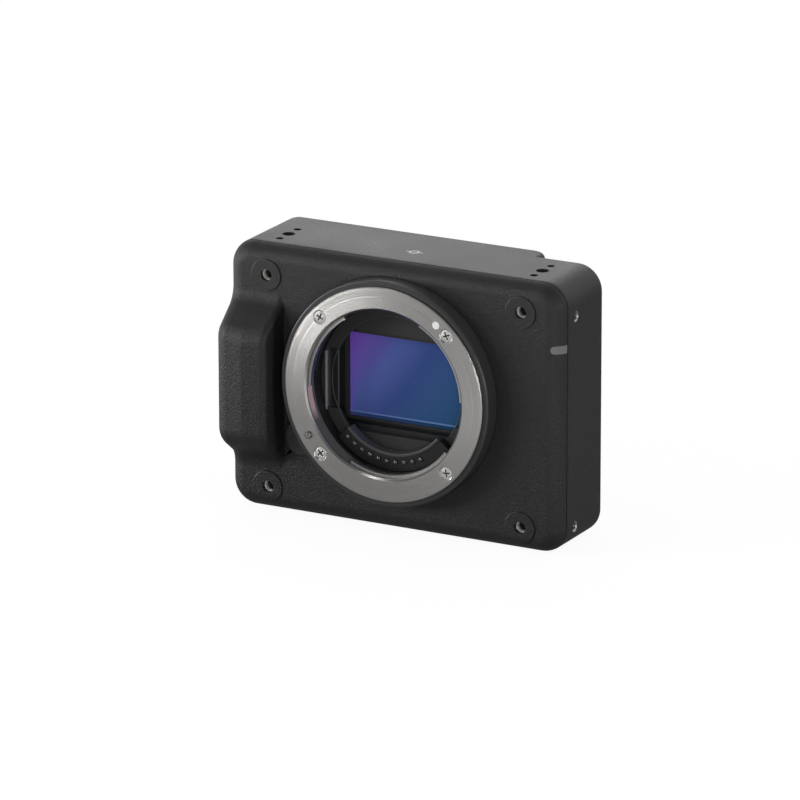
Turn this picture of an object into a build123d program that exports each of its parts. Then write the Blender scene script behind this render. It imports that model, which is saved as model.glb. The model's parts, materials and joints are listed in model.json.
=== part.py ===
from build123d import *
from math import cos, radians, sin
import os

os.makedirs("parts", exist_ok=True)

# Frame: +Z up, the lens mount faces -Y, origin at the bottom centre of the bounding box.
# Every depth below is measured backwards (+Y) from the lens flange face.

# Outer body
body_width = 100.0
body_height = 74.0
corner_radius = 7.0
front_edge_radius = 4.6
rear_edge_radius = 1.5
cover_wall = 1.8
cover_rim = 2.3
frame_wall = 2.2

# Depths behind the flange
grip_proud = 3.5
front_face_depth = 5.6
front_seam_depth = 9.1
seam_groove = 0.25
rear_seam_depth = 26.0
thin_back_depth = 30.1
raised_back_depth = 35.4
rear_face_depth = 38.6
key_proud = 0.4

overall_depth = grip_proud + rear_face_depth + key_proud
flange_y = grip_proud - overall_depth / 2
half_width = body_width / 2
half_height = body_height / 2
axis_rise = 2.25
axis_height = half_height + axis_rise

# Clearances
running_gap = 0.3
fit_gap = 0.1
pin_gap = 0.05

# Lens mount
ring_radius = 29.5
ring_thickness = 2.0
throat_radius = 23.2
throat_chamfer = 0.5
spigot_radius = 24.0
spigot_depth = 4.6
tab_radius = 22.3
tab_front = 1.3
tab_thickness = 1.5
tab_spans = [(2, 63), (122, 182), (243, 323)]
ring_screw_circle = 26.65
ring_screw_angles = [45, 135, 225, 315]
ring_screw_radius = 1.0
ring_screw_head_radius = 1.95
ring_screw_length = 5.5
index_angle = 53.5
index_radius = 1.05
index_depth = 0.5
collar_radius = 31.0
collar_front = 0.7
boss_radius = 29.2
collar_seat_radius = 30.0
leaf_inner_radius = 22.5
leaf_thickness = 0.3
ledge_radius = 23.0

# Lens release
release_angle = 212.3
lock_pin_circle = 26.6
lock_pin_radius = 1.0
lock_pin_proud = 0.9
release_travel = 1.5
button_front = 2.7
button_inner_radius = 31.4
button_half_angle = 9.5
button_bulge = 4.6
button_flange = 0.8
button_flange_thickness = 0.4
yoke_depth = 8.4
yoke_thickness = 0.7
yoke_half_width = 1.6
yoke_reach = 34.6
release_spring_circle = 33.2
release_spring_radius = 1.4
release_spring_wall = 0.4
release_spring_room = 3.0
release_bracket_thickness = 0.6
bracket_half_width = 1.9
bracket_length = 7.4
bracket_leg = 1.8

# Grip bulge, seen from above (x from the axis, depth from the flange)
grip_side_depth = -2.3
grip_ridge_x = 9.0 - half_width
grip_inner_depth = -3.1
grip_foot_x = -1.8 - collar_radius
grip_inner_x = grip_foot_x - 1.4
grip_top_front = half_height + 14.0
grip_top_foot = half_height + 22.0
grip_bottom_front = half_height - 16.0
grip_bottom_foot = half_height - 23.0
grip_foot_radius = 5.0
grip_ramp_radius = 6.5
grip_ridge_radius = 4.0
grip_inner_radius = 1.8
grip_cavity_depth = -0.6

# Fixing points
fix_inset_x = 12.0
fix_inset_low = 6.75
fix_inset_high = 8.25
pillar_radius = 4.3
pillar_proud = 0.25
insert_radius = 1.65
insert_bore_radius = 1.25
insert_length = 5.0
insert_recess = 0.15
top_hole_radius = 1.75
top_hole_depth = 1.4
top_fix_depth = 18.0
dowel_offset = 4.9
dowel_radius = 1.05
dowel_length = 2.0
side_fix_depth = 14.05
side_fix_heights = [6.5, body_height - 9.8]
side_insert_radius = 1.6
side_insert_bore_radius = 1.0
side_insert_length = 4.0
tripod_outer_radius = 5.5
tripod_bore_radius = 2.8
tripod_length = 7.0
tripod_depth = 18.0

# Status light
light_height = body_height - 17.4
light_width = 2.2
light_reach = 3.4

# Frame web, corner blocks and posts
web_thickness = 1.6
block_inner_x = half_width - 16.3
block_height = 11.2
board_seat_depth = 22.4
sensor_post_radius = 2.0
sensor_post_x = 33.0
sensor_post_rise = 12.25
sensor_posts = [
    (-sensor_post_x, axis_height + sensor_post_rise),
    (sensor_post_x, axis_height + sensor_post_rise),
    (sensor_post_x, axis_height - sensor_post_rise),
]

# Chamber
chamber_front = 8.0
chamber_radius = 22.8
chamber_bore = 22.0
chamber_lip_radius = 19.3
chamber_lip_thickness = 1.0
chamber_side_x = 20.6
chamber_side_bevel = 1.0
chamber_side_height = 16.8
chamber_bore_height = 28.0
chamber_flange_radius = 24.4
chamber_flange = 0.3

# Contacts
contact_circle = 19.9
contact_pitch = 7.5
contact_count = 10
contact_centre_angle = 261.8
contact_front = 5.4
contact_radius = 0.55
contact_proud = 0.45
contact_inner_radius = 17.5
contact_rim_width = 0.9
contact_rim_rise = 0.4
contact_outer_radius = 22.4
contact_span = (223, 320)

# Shutter
shutter_bottom = axis_height - 27.75
shutter_top = axis_height + 28.75
shutter_front_depth = 11.0
shutter_plate = 0.5
shutter_bevel = 0.4
blade_thickness = 0.25
blade_gap = 0.3
aperture_width = 38.0
aperture_height = 25.2
blade_overlap = 1.0
blade_margin = 0.4
shutter_motor_radius = 3.4
shutter_motor_length = 14.0
shutter_rail_width = 3.0

# Sensor stack
holder_width = 43.0
holder_height = 31.0
holder_lip = 0.4
filter_thickness = 1.8
filter_width = 37.6
filter_height = 26.0
filter_window_width = 35.4
filter_window_height = 23.8
gasket_thickness = 0.3
cover_glass_thickness = 0.5
sensor_plane_depth = 18.0
die_thickness = 0.4
die_width = 36.6
die_height = 24.6
package_width = 43.0
package_height = 32.0
package_back = 19.4
sensor_board_thickness = 0.8
sensor_board_width = 56.0
sensor_board_height = 42.0
sensor_plate_depth = 20.7
sensor_plate_thickness = 1.0
sensor_plate_width = 2 * (sensor_post_x + 3.0)
sensor_plate_height = 2 * (sensor_post_rise + 5.75)
sensor_plate_notch = 10.0

# Boards
board_thickness = 1.2
board_gap = 0.4
chip_height = 1.4
processor_z = axis_height
processor_size = 20.0
memory_offset = 16.5
memory_step = 13.0
memory_width = 9.0
memory_height = 11.0
spreader_thickness = 1.2
spreader_width = 46.0
spreader_height = 40.0
power_board_depth = 7.9
power_board_width = half_width + grip_foot_x - 3.4
power_board_x = grip_foot_x - 0.6 - power_board_width / 2
power_board_z = half_height
power_board_height = 34.0
capacitor_radius = 2.5
capacitor_length = 6.0
capacitor_pitch = 7.5
connector_z = half_height
connector_width = 5.0
connector_height = 22.0

# Rear cover
raised_right_x = half_width - 18.5
connector_x = raised_right_x - 9.5
processor_x = connector_x - 28.0
raised_end_radius = 4.2
panel_left_x = 8.5 - half_width
panel_right_x = raised_right_x - 8.5
panel_margin = 3.0
panel_radius = 5.0
panel_draft = 30.0
panel_wall = 3.5
rear_board_depth = 30.8
rear_board_thickness = 1.0
rear_board_margin = 0.5
rear_post_inset = 10.5
rear_post_points = [
    (panel_left_x + 7.5, rear_post_inset),
    (panel_right_x - 19.0, rear_post_inset),
    (panel_left_x + 7.5, body_height - rear_post_inset),
    (panel_right_x - 19.0, body_height - rear_post_inset),
]
rear_post_radius = 2.2
key_x = panel_right_x - 10.0
key_heights = [half_height + rise for rise in (23.0, 11.5, 0.0, -10.5, -21.0)]
key_radii = [3.6, 4.2, 3.0, 3.0, 3.0]
key_travel = 0.4
key_rim = 0.7
key_rim_thickness = 0.6
switch_size = 4.5
switch_body = 1.8
switch_stem_radius = 1.0
socket_x = panel_left_x + 15.5
socket_depth = 4.5
socket_recess = 0.3
socket_wall = 0.5
socket_shell = 1.0
socket_tongue = 0.9
power_socket_z = half_height + 21.0
power_socket_radius = 4.0
power_pin_radius = 0.9
socket_sizes = [
    (half_height + 9.0, 9.4, 3.6),
    (half_height - 2.5, 15.4, 6.0),
    (half_height - 17.0, 13.0, 7.0),
]
rear_screw_head_radius = 1.8
rear_screw_head_height = 0.7
rear_screw_length = 7.0
board_screw_head_height = 0.5
board_screw_length = 3.8
rear_screw_radius = 1.0
rear_screw_inset = 5.6
rear_screw_x = half_width - rear_screw_inset
rear_column_radius = 2.6

# Card bay
door_height = 32.0
door_bottom = half_height - 12.0
door_front_depth = 27.3
door_hinge_depth = 31.2
door_thickness = 1.6
door_barrel_radius = 1.0
door_hinge_x = door_barrel_radius - half_width
door_pin_radius = 0.5
door_pin_reach = 2.0
card_slot_length = 31.0
card_slot_height = 27.0
card_slot_thickness = 3.0
card_thickness = 2.3
card_height = 24.4


def facing(depth):
    """Plane parallel to the flange, its normal to the front, x right and y up from the base."""
    return Plane(origin=(0, flange_y + depth, 0), x_dir=(1, 0, 0), z_dir=(0, -1, 0))


def on_axis(depth):
    """The same plane with its origin on the optical axis."""
    return Plane(origin=(0, flange_y + depth, axis_height), x_dir=(1, 0, 0), z_dir=(0, -1, 0))


def polar(radius, angle):
    """Point at a radius and angle round the optical axis."""
    return (radius * cos(radians(angle)), radius * sin(radians(angle)))


def sector(inner, outer, start, end):
    """Ring sector between two radii and two angles."""
    with BuildSketch() as ring_sector:
        with BuildLine():
            CenterArc((0, 0), inner, start, end - start)
            CenterArc((0, 0), outer, start, end - start)
            Line(polar(inner, start), polar(outer, start))
            Line(polar(inner, end), polar(outer, end))
        make_face()
    return ring_sector.sketch_local


def finish(piece, name):
    """Label a finished piece and write its STEP file."""
    piece.part.label = name
    export_step(piece.part, "parts/" + name + ".step")


fix_x = half_width - fix_inset_x
fix_low = fix_inset_low
fix_high = body_height - fix_inset_high
fix_points = [(-fix_x, fix_low), (fix_x, fix_low), (-fix_x, fix_high), (fix_x, fix_high)]
web_back = front_seam_depth + web_thickness

# Hand bulge: its side view carried across, cut to its plan outline
grip_low = grip_bottom_foot - grip_foot_radius
grip_high = grip_top_foot + grip_foot_radius
with BuildPart() as grip_form:
    with BuildSketch(Plane.YZ.offset(-half_width)):
        with BuildLine():
            Polyline(
                (flange_y + front_seam_depth, grip_low),
                (flange_y + front_face_depth, grip_low),
                (flange_y + front_face_depth, grip_bottom_foot),
                (flange_y - grip_proud, grip_bottom_front),
                (flange_y - grip_proud, grip_top_front),
                (flange_y + front_face_depth, grip_top_foot),
                (flange_y + front_face_depth, grip_high),
                (flange_y + front_seam_depth, grip_high),
                close=True,
            )
        make_face()
    extrude(amount=half_width + grip_foot_x)
    foot_edges = grip_form.edges().filter_by(Axis.X).group_by(Axis.Y)[1].sort_by(Axis.Z)[1:3]
    fillet(foot_edges, grip_foot_radius)
    with BuildSketch(Plane.XY.offset(grip_low)):
        with BuildLine():
            Polyline(
                (-half_width, flange_y + front_seam_depth),
                (-half_width, flange_y + grip_side_depth),
                (grip_ridge_x, flange_y - grip_proud),
                (grip_inner_x, flange_y + grip_inner_depth),
                (grip_foot_x, flange_y + front_face_depth),
                (grip_foot_x, flange_y + front_seam_depth),
                close=True,
            )
        make_face()
    extrude(amount=grip_high - grip_low, mode=Mode.INTERSECT)
    ramps = grip_form.faces().filter_by(GeomType.PLANE)
    ramps = ramps.filter_by(lambda face: abs(face.normal_at().Z) > 0.3 and face.normal_at().Y < -0.1)
    ramp_edges = [edge for ramp in ramps for edge in ramp.edges() if edge.center().Y < flange_y]
    fillet(ramp_edges, grip_ramp_radius)
    inner_edges = grip_form.edges().filter_by_position(Axis.X, grip_inner_x - 0.01, grip_foot_x - 0.01)
    fillet(
        [edge for edge in inner_edges if edge.center().Y < flange_y + front_face_depth - 0.01],
        grip_inner_radius,
    )
    ridge_edges = grip_form.edges().filter_by(Axis.Z).sort_by(Axis.Y)
    fillet(ridge_edges[0], grip_ridge_radius)

# Front half of the body with the bulge, one rounding run all the way round its front edge
with BuildPart() as body_blank:
    with BuildSketch(facing(front_face_depth)):
        with Locations((0, body_height / 2)):
            RectangleRounded(body_width, body_height, corner_radius)
    extrude(amount=front_face_depth - rear_seam_depth)
    add(grip_form.part)
    outer_walls = body_blank.faces().filter_by(lambda face: abs(face.normal_at().Y) < 0.01)
    rim_edges = [
        edge
        for wall in outer_walls
        for edge in wall.edges()
        if edge.center().Y < flange_y + front_seam_depth and abs(edge.tangent_at(0.5).Y) < 0.99
    ]
    fillet(rim_edges, front_edge_radius)

# Lens-shaped outline of the release button, beside the collar
button_mid = button_inner_radius + button_bulge
button_start = release_angle - button_half_angle
button_end = release_angle + button_half_angle


def button_outline(grow):
    """Outline of the release button, grown by a clearance."""
    with BuildSketch() as outline:
        with BuildLine():
            inner_low = polar(button_inner_radius - grow, button_start - grow * 2)
            inner_high = polar(button_inner_radius - grow, button_end + grow * 2)
            ThreePointArc(inner_low, polar(button_inner_radius - grow, release_angle), inner_high)
            ThreePointArc(inner_high, polar(button_mid + grow, release_angle), inner_low)
        make_face()
    return outline.sketch_local


with BuildPart() as front_cover:
    add(body_blank.part)
    with BuildSketch(facing(front_seam_depth)):
        with Locations((0, body_height / 2)):
            Rectangle(2 * body_width, 2 * body_height)
    extrude(amount=front_seam_depth - rear_seam_depth, mode=Mode.SUBTRACT)
    with BuildSketch(facing(front_seam_depth)):
        with Locations((0, body_height / 2)):
            RectangleRounded(
                body_width - 2 * cover_rim,
                body_height - 2 * cover_rim,
                corner_radius - cover_rim,
            )
    extrude(amount=front_seam_depth - front_face_depth - cover_wall, mode=Mode.SUBTRACT)
    with BuildSketch(Plane.YZ.offset(-half_width + cover_rim)):
        with BuildLine():
            Polyline(
                (flange_y + front_seam_depth, grip_bottom_foot + 3 * cover_wall),
                (flange_y + grip_cavity_depth, grip_bottom_front + cover_wall),
                (flange_y + grip_cavity_depth, grip_top_front - cover_wall),
                (flange_y + front_seam_depth, grip_top_foot - 3 * cover_wall),
                close=True,
            )
        make_face()
    extrude(amount=half_width + grip_foot_x - cover_rim - cover_wall, mode=Mode.SUBTRACT)
    with BuildSketch(on_axis(front_face_depth)):
        Circle(collar_radius + fit_gap)
        add(button_outline(running_gap))
    extrude(amount=front_face_depth - front_seam_depth, mode=Mode.SUBTRACT)
    with BuildSketch(facing(front_face_depth)):
        with Locations(*fix_points):
            Circle(pillar_radius + fit_gap)
    extrude(amount=front_face_depth - front_seam_depth, mode=Mode.SUBTRACT)

    # Slot for the status light bar that wraps round the front right edge
    with BuildSketch(facing(front_face_depth)):
        with Locations((half_width, light_height)):
            SlotOverall(2 * light_reach + fit_gap, light_width + fit_gap)
    extrude(amount=front_face_depth - front_seam_depth, mode=Mode.SUBTRACT)
finish(front_cover, "front_cover")

with BuildPart() as status_light_guide:
    with BuildSketch(facing(front_face_depth)):
        with Locations((half_width, light_height)):
            SlotOverall(2 * light_reach, light_width)
    extrude(amount=front_face_depth - front_seam_depth)
    add(body_blank.part, mode=Mode.INTERSECT)
finish(status_light_guide, "status_light_guide")


def cross_screw(shaft_radius, head_radius, length):
    """Countersunk screw with a cross recess, its head flush at the origin and its shaft down -Z."""
    head_depth = head_radius - shaft_radius
    with BuildPart() as screw:
        with BuildSketch(Plane.XZ):
            with BuildLine():
                Polyline(
                    (0, 0),
                    (head_radius, 0),
                    (shaft_radius, -head_depth),
                    (shaft_radius, -length),
                    (0, -length),
                    close=True,
                )
            make_face()
        revolve(axis=Axis.Z)
        with BuildSketch(Plane.XY):
            Rectangle(head_radius * 1.3, head_radius * 0.28)
            Rectangle(head_radius * 0.28, head_radius * 1.3)
        extrude(amount=-head_depth * 0.6, mode=Mode.SUBTRACT)
    return screw.part


def pan_screw(shaft_radius, head_radius, head_height, length):
    """Pan-head screw, the underside of its head at the origin and its shaft down -Z."""
    with BuildPart() as screw:
        with BuildSketch(Plane.XY):
            Circle(head_radius)
        extrude(amount=head_height)
        with BuildSketch(Plane.XY):
            Circle(shaft_radius)
        extrude(amount=-length)
    return screw.part


def threaded_insert(outer_radius, bore_radius, length):
    """Threaded bush with a chamfered mouth at the origin, its body down -Z."""
    with BuildPart() as bush:
        with BuildSketch(Plane.XY):
            Circle(outer_radius)
            Circle(bore_radius, mode=Mode.SUBTRACT)
        extrude(amount=-length)
        mouth = bush.faces().sort_by(Axis.Z)[-1].edges().sort_by(SortBy.RADIUS)[0]
        chamfer(mouth, (outer_radius - bore_radius) * 0.5)
    return bush.part


# Round pillars that bring the front fixing points through the front cover
with BuildPart() as frame_pillars:
    with BuildSketch(facing(front_face_depth - pillar_proud)):
        with Locations(*fix_points):
            Circle(pillar_radius)
    extrude(amount=front_face_depth - pillar_proud - web_back)
    with Locations((0, -pillar_proud, 0)):
        add(body_blank.part, mode=Mode.INTERSECT)

ledge_depth = spigot_depth + fit_gap + leaf_thickness
collar_back = front_face_depth + cover_wall
rear_columns = [
    (side * rear_screw_x, height)
    for side in (-1, 1)
    for height in (rear_screw_inset, body_height - rear_screw_inset)
]
top_points = [(side * fix_x, flange_y + top_fix_depth) for side in (-1, 1)]
dowel_points = [
    (side * fix_x, flange_y + top_fix_depth + step * dowel_offset)
    for side in (-1, 1)
    for step in (-1, 1)
]
side_points = [(flange_y + side_fix_depth, height) for height in side_fix_heights]
fix_front = front_face_depth - pillar_proud
pocket_depth = insert_length + insert_recess
top_pocket_depth = insert_length + top_hole_depth
side_pocket = side_insert_length + insert_recess
yoke_inner = lock_pin_circle - yoke_half_width
yoke_length = yoke_reach - yoke_inner
yoke_middle = yoke_inner + yoke_length / 2
yoke_slack = running_gap + fit_gap
release_bracket_depth = yoke_depth + yoke_thickness + release_travel + release_spring_room

with BuildPart() as main_frame:
    # Walls of the middle of the body, set back by the groove at the seam
    with BuildSketch(facing(front_seam_depth + seam_groove)):
        with Locations((0, body_height / 2)):
            RectangleRounded(body_width, body_height, corner_radius)
            RectangleRounded(
                body_width - 2 * frame_wall,
                body_height - 2 * frame_wall,
                corner_radius - frame_wall,
                mode=Mode.SUBTRACT,
            )
    extrude(amount=front_seam_depth + seam_groove - rear_seam_depth)
    add(body_blank.part, mode=Mode.INTERSECT)
    # Web across the front
    with BuildSketch(facing(front_seam_depth)):
        with Locations((0, body_height / 2)):
            RectangleRounded(
                body_width - frame_wall,
                body_height - frame_wall,
                corner_radius - frame_wall / 2,
            )
        with Locations((0, axis_height)):
            Circle(ledge_radius, mode=Mode.SUBTRACT)
    extrude(amount=-web_thickness)
    # Corner blocks that carry the fixings and the main board
    with BuildSketch(facing(web_back)):
        with Locations(
            *[
                (side * (block_inner_x + half_width) / 2, height)
                for side in (-1, 1)
                for height in (block_height / 2, body_height - block_height / 2)
            ]
        ):
            Rectangle(half_width - block_inner_x, block_height)
        with Locations((0, body_height / 2)):
            RectangleRounded(
                body_width - frame_wall,
                body_height - frame_wall,
                corner_radius - frame_wall / 2,
                mode=Mode.INTERSECT,
            )
    extrude(amount=web_back - board_seat_depth)
    # Pad for the tripod socket
    with BuildSketch(Plane.XY.offset(frame_wall / 2)):
        with Locations((0, flange_y + tripod_depth)):
            Rectangle(3 * tripod_outer_radius, 2.4 * tripod_outer_radius)
    extrude(amount=tripod_length)
    # Columns for the rear cover screws, and posts for the sensor plate
    with BuildSketch(facing(web_back)):
        with Locations(*rear_columns):
            Circle(rear_column_radius)
    extrude(amount=web_back - rear_seam_depth)
    with BuildSketch(facing(web_back)):
        with Locations(*sensor_posts):
            Circle(sensor_post_radius)
    extrude(amount=web_back - sensor_plate_depth)
    add(frame_pillars.part)
    # Boss under the mount ring, shoulder under the collar, and the ledge inside the throat
    with BuildSketch(on_axis(ring_thickness)):
        Circle(boss_radius)
        Circle(spigot_radius + fit_gap, mode=Mode.SUBTRACT)
    extrude(amount=ring_thickness - web_back)
    with BuildSketch(on_axis(collar_back)):
        Circle(collar_seat_radius)
        Circle(boss_radius - fit_gap, mode=Mode.SUBTRACT)
    extrude(amount=collar_back - web_back)
    with BuildSketch(on_axis(ledge_depth)):
        Circle(spigot_radius + 2 * fit_gap)
        Circle(ledge_radius, mode=Mode.SUBTRACT)
    extrude(amount=ledge_depth - web_back)
    # Lock pin bore, yoke slot and the opening behind the release button
    with BuildSketch(on_axis(ring_thickness)):
        with Locations(polar(lock_pin_circle, release_angle)):
            Circle(lock_pin_radius + pin_gap)
    extrude(amount=ring_thickness - web_back, mode=Mode.SUBTRACT)
    with BuildSketch(on_axis(yoke_depth - running_gap)):
        with Locations(Location((*polar(yoke_middle, release_angle), 0), (0, 0, release_angle))):
            Rectangle(yoke_length + 2 * yoke_slack, 2 * (yoke_half_width + yoke_slack))
        add(button_outline(button_flange + yoke_slack))
    extrude(amount=yoke_depth - running_gap - web_back, mode=Mode.SUBTRACT)
    # Screw holes in the boss
    with BuildSketch(on_axis(ring_thickness)):
        with Locations(*[polar(ring_screw_circle, angle) for angle in ring_screw_angles]):
            Circle(ring_screw_radius + pin_gap)
    extrude(amount=ring_thickness - ring_screw_length - fit_gap, mode=Mode.SUBTRACT)
    # Front fixing pockets
    with BuildSketch(facing(fix_front)):
        with Locations(*fix_points):
            Circle(insert_radius)
    extrude(amount=-pocket_depth, mode=Mode.SUBTRACT)
    # Top and bottom fixing pockets and dowel holes
    with BuildSketch(Plane.XY.offset(body_height)):
        with Locations(*top_points):
            Circle(insert_radius)
    extrude(amount=-top_pocket_depth, mode=Mode.SUBTRACT)
    with BuildSketch(Plane.XY.offset(body_height)):
        with Locations(*top_points):
            Circle(top_hole_radius)
    extrude(amount=-top_hole_depth, mode=Mode.SUBTRACT)
    with BuildSketch(Plane.XY.offset(body_height)):
        with Locations(*dowel_points):
            Circle(dowel_radius)
    extrude(amount=-dowel_length, mode=Mode.SUBTRACT)
    with BuildSketch(Plane.XY):
        with Locations(*top_points):
            Circle(insert_radius)
    extrude(amount=top_pocket_depth, mode=Mode.SUBTRACT)
    with BuildSketch(Plane.XY):
        with Locations(*top_points):
            Circle(top_hole_radius)
    extrude(amount=top_hole_depth, mode=Mode.SUBTRACT)
    with BuildSketch(Plane.XY):
        with Locations(*dowel_points):
            Circle(dowel_radius)
    extrude(amount=dowel_length, mode=Mode.SUBTRACT)
    with BuildSketch(Plane.XY):
        with Locations((0, flange_y + tripod_depth)):
            Circle(tripod_outer_radius)
    extrude(amount=tripod_length, mode=Mode.SUBTRACT)
    # Side fixing pockets
    with BuildSketch(Plane.YZ.offset(half_width - side_pocket)):
        with Locations(*side_points):
            Circle(side_insert_radius)
    extrude(amount=2 * side_pocket, mode=Mode.SUBTRACT)
    with BuildSketch(Plane.YZ.offset(side_pocket - half_width)):
        with Locations(*side_points):
            Circle(side_insert_radius)
    extrude(amount=-2 * side_pocket, mode=Mode.SUBTRACT)
    # Holes for the main board, sensor plate and rear cover screws
    with BuildSketch(facing(board_seat_depth)):
        with Locations(*fix_points):
            Circle(rear_screw_radius + pin_gap)
    extrude(amount=board_screw_length - board_thickness + fit_gap, mode=Mode.SUBTRACT)
    with BuildSketch(facing(sensor_plate_depth)):
        with Locations(*sensor_posts):
            Circle(rear_screw_radius + pin_gap)
    extrude(amount=5 * rear_screw_radius, mode=Mode.SUBTRACT)
    with BuildSketch(facing(rear_seam_depth)):
        with Locations(*rear_columns):
            Circle(rear_screw_radius + pin_gap)
    extrude(amount=7 * rear_screw_radius, mode=Mode.SUBTRACT)
finish(main_frame, "main_frame")

with BuildPart() as m3_inserts:
    with Locations(facing(fix_front + insert_recess)):
        with Locations(*fix_points):
            add(threaded_insert(insert_radius, insert_bore_radius, insert_length))
    with Locations(Plane.XY.offset(body_height - top_hole_depth)):
        with Locations(*top_points):
            add(threaded_insert(insert_radius, insert_bore_radius, insert_length))
    with Locations(Plane(origin=(0, 0, top_hole_depth), x_dir=(1, 0, 0), z_dir=(0, 0, -1))):
        with Locations(*[(x, -y) for x, y in top_points]):
            add(threaded_insert(insert_radius, insert_bore_radius, insert_length))
finish(m3_inserts, "m3_inserts")

side_insert_form = threaded_insert(side_insert_radius, side_insert_bore_radius, side_insert_length)
with BuildPart() as side_inserts:
    with Locations(Plane.YZ.offset(half_width - insert_recess)):
        with Locations(*side_points):
            add(side_insert_form)
    mirror(about=Plane.YZ)
finish(side_inserts, "side_inserts")

with BuildPart() as tripod_socket:
    with Locations(Plane(origin=(0, flange_y + tripod_depth, 0), x_dir=(1, 0, 0), z_dir=(0, 0, -1))):
        add(threaded_insert(tripod_outer_radius, tripod_bore_radius, tripod_length))
finish(tripod_socket, "tripod_socket")

# Mount ring: face, spigot and three inward tabs
with BuildPart() as mount_ring:
    with BuildSketch(on_axis(0)):
        Circle(ring_radius)
    extrude(amount=-ring_thickness)
    with BuildSketch(on_axis(ring_thickness)):
        Circle(spigot_radius)
    extrude(amount=ring_thickness - spigot_depth)
    with BuildSketch(on_axis(0)):
        Circle(throat_radius)
    extrude(amount=-spigot_depth, mode=Mode.SUBTRACT)
    ring_front_edges = mount_ring.faces().sort_by(Axis.Y)[0].edges().sort_by(SortBy.RADIUS)
    chamfer(ring_front_edges[0], throat_chamfer)
    chamfer(ring_front_edges[-1], throat_chamfer / 2)
    for start, end in tab_spans:
        with BuildSketch(on_axis(tab_front)):
            add(sector(tab_radius, (throat_radius + spigot_radius) / 2, start, end))
        extrude(amount=-tab_thickness)
    with Locations(on_axis(0)):
        with Locations(*[polar(ring_screw_circle, angle) for angle in ring_screw_angles]):
            CounterSinkHole(
                ring_screw_radius + pin_gap,
                ring_screw_head_radius + pin_gap,
                ring_thickness,
                90,
            )
    with BuildSketch(on_axis(0)):
        with Locations(polar(ring_screw_circle, index_angle)):
            Circle(index_radius)
    extrude(amount=-index_depth, mode=Mode.SUBTRACT)
    with BuildSketch(on_axis(0)):
        with Locations(polar(lock_pin_circle, release_angle)):
            Circle(lock_pin_radius + fit_gap)
    extrude(amount=-ring_thickness, mode=Mode.SUBTRACT)
finish(mount_ring, "mount_ring")

with BuildPart() as index_dot:
    with BuildSketch(on_axis(0)):
        with Locations(polar(ring_screw_circle, index_angle)):
            Circle(index_radius)
    extrude(amount=-index_depth)
finish(index_dot, "index_dot")

with BuildPart() as mount_screws:
    with Locations(on_axis(pin_gap)):
        with Locations(*[polar(ring_screw_circle, angle) for angle in ring_screw_angles]):
            add(cross_screw(ring_screw_radius, ring_screw_head_radius, ring_screw_length))
finish(mount_screws, "mount_screws")

# Collar: the outer half stands round the ring, the inner half hugs the boss behind the ring
with BuildPart() as mount_collar:
    with BuildSketch(on_axis(collar_front)):
        Circle(collar_radius)
        Circle(ring_radius + fit_gap, mode=Mode.SUBTRACT)
    extrude(amount=collar_front - collar_back)
    with BuildSketch(on_axis(ring_thickness + fit_gap)):
        Circle(ring_radius + 2 * fit_gap)
        Circle(boss_radius + pin_gap, mode=Mode.SUBTRACT)
    extrude(amount=ring_thickness + fit_gap - collar_back)
    collar_edges = mount_collar.faces().sort_by(Axis.Y)[0].edges().sort_by(SortBy.RADIUS)
    fillet(collar_edges[-1], 0.5)
finish(mount_collar, "mount_collar")

leaf_trim = 8
with BuildPart() as bayonet_leaf_springs:
    for start, end in tab_spans:
        with BuildSketch(on_axis(ledge_depth - leaf_thickness)):
            add(sector(leaf_inner_radius, spigot_radius, start + leaf_trim, end - leaf_trim))
        extrude(amount=-leaf_thickness)
finish(bayonet_leaf_springs, "bayonet_leaf_springs")

with BuildPart() as lock_pin:
    with BuildSketch(on_axis(-lock_pin_proud)):
        with Locations(polar(lock_pin_circle, release_angle)):
            Circle(lock_pin_radius)
    extrude(amount=-lock_pin_proud - yoke_depth)
    chamfer(lock_pin.faces().sort_by(Axis.Y)[0].edges(), 0.3)
finish(lock_pin, "lock_pin")

with BuildPart() as release_yoke:
    with BuildSketch(on_axis(yoke_depth)):
        with Locations(Location((*polar(yoke_middle, release_angle), 0), (0, 0, release_angle))):
            RectangleRounded(yoke_length, 2 * yoke_half_width, yoke_half_width - fit_gap)
    extrude(amount=-yoke_thickness)
finish(release_yoke, "release_yoke")

with BuildPart() as lens_release_button:
    with BuildSketch(on_axis(button_front)):
        add(button_outline(0))
    extrude(amount=button_front - collar_back - running_gap)
    fillet(lens_release_button.faces().sort_by(Axis.Y)[0].edges(), 0.6)
    with BuildSketch(on_axis(collar_back + running_gap)):
        add(button_outline(button_flange))
    extrude(amount=-button_flange_thickness)
finish(lens_release_button, "lens_release_button")

spring_front = yoke_depth + yoke_thickness
with BuildPart() as release_spring:
    with BuildSketch(on_axis(spring_front)):
        with Locations(polar(release_spring_circle, release_angle)):
            Circle(release_spring_radius)
            Circle(release_spring_radius - release_spring_wall, mode=Mode.SUBTRACT)
    extrude(amount=spring_front - release_bracket_depth)
finish(release_spring, "release_spring")

bracket_inner = release_spring_circle - release_spring_radius
bracket_outer = bracket_inner + bracket_length
with BuildPart() as release_bracket:
    with BuildSketch(on_axis(release_bracket_depth)):
        with Locations(
            Location((*polar((bracket_inner + bracket_outer) / 2, release_angle), 0), (0, 0, release_angle))
        ):
            Rectangle(bracket_outer - bracket_inner, 2 * bracket_half_width)
    extrude(amount=-release_bracket_thickness)
    with BuildSketch(on_axis(web_back)):
        with Locations(
            Location((*polar(bracket_outer - bracket_leg / 2, release_angle), 0), (0, 0, release_angle))
        ):
            Rectangle(bracket_leg, 2 * bracket_half_width)
    extrude(amount=web_back - release_bracket_depth)
finish(release_bracket, "release_bracket")

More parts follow.
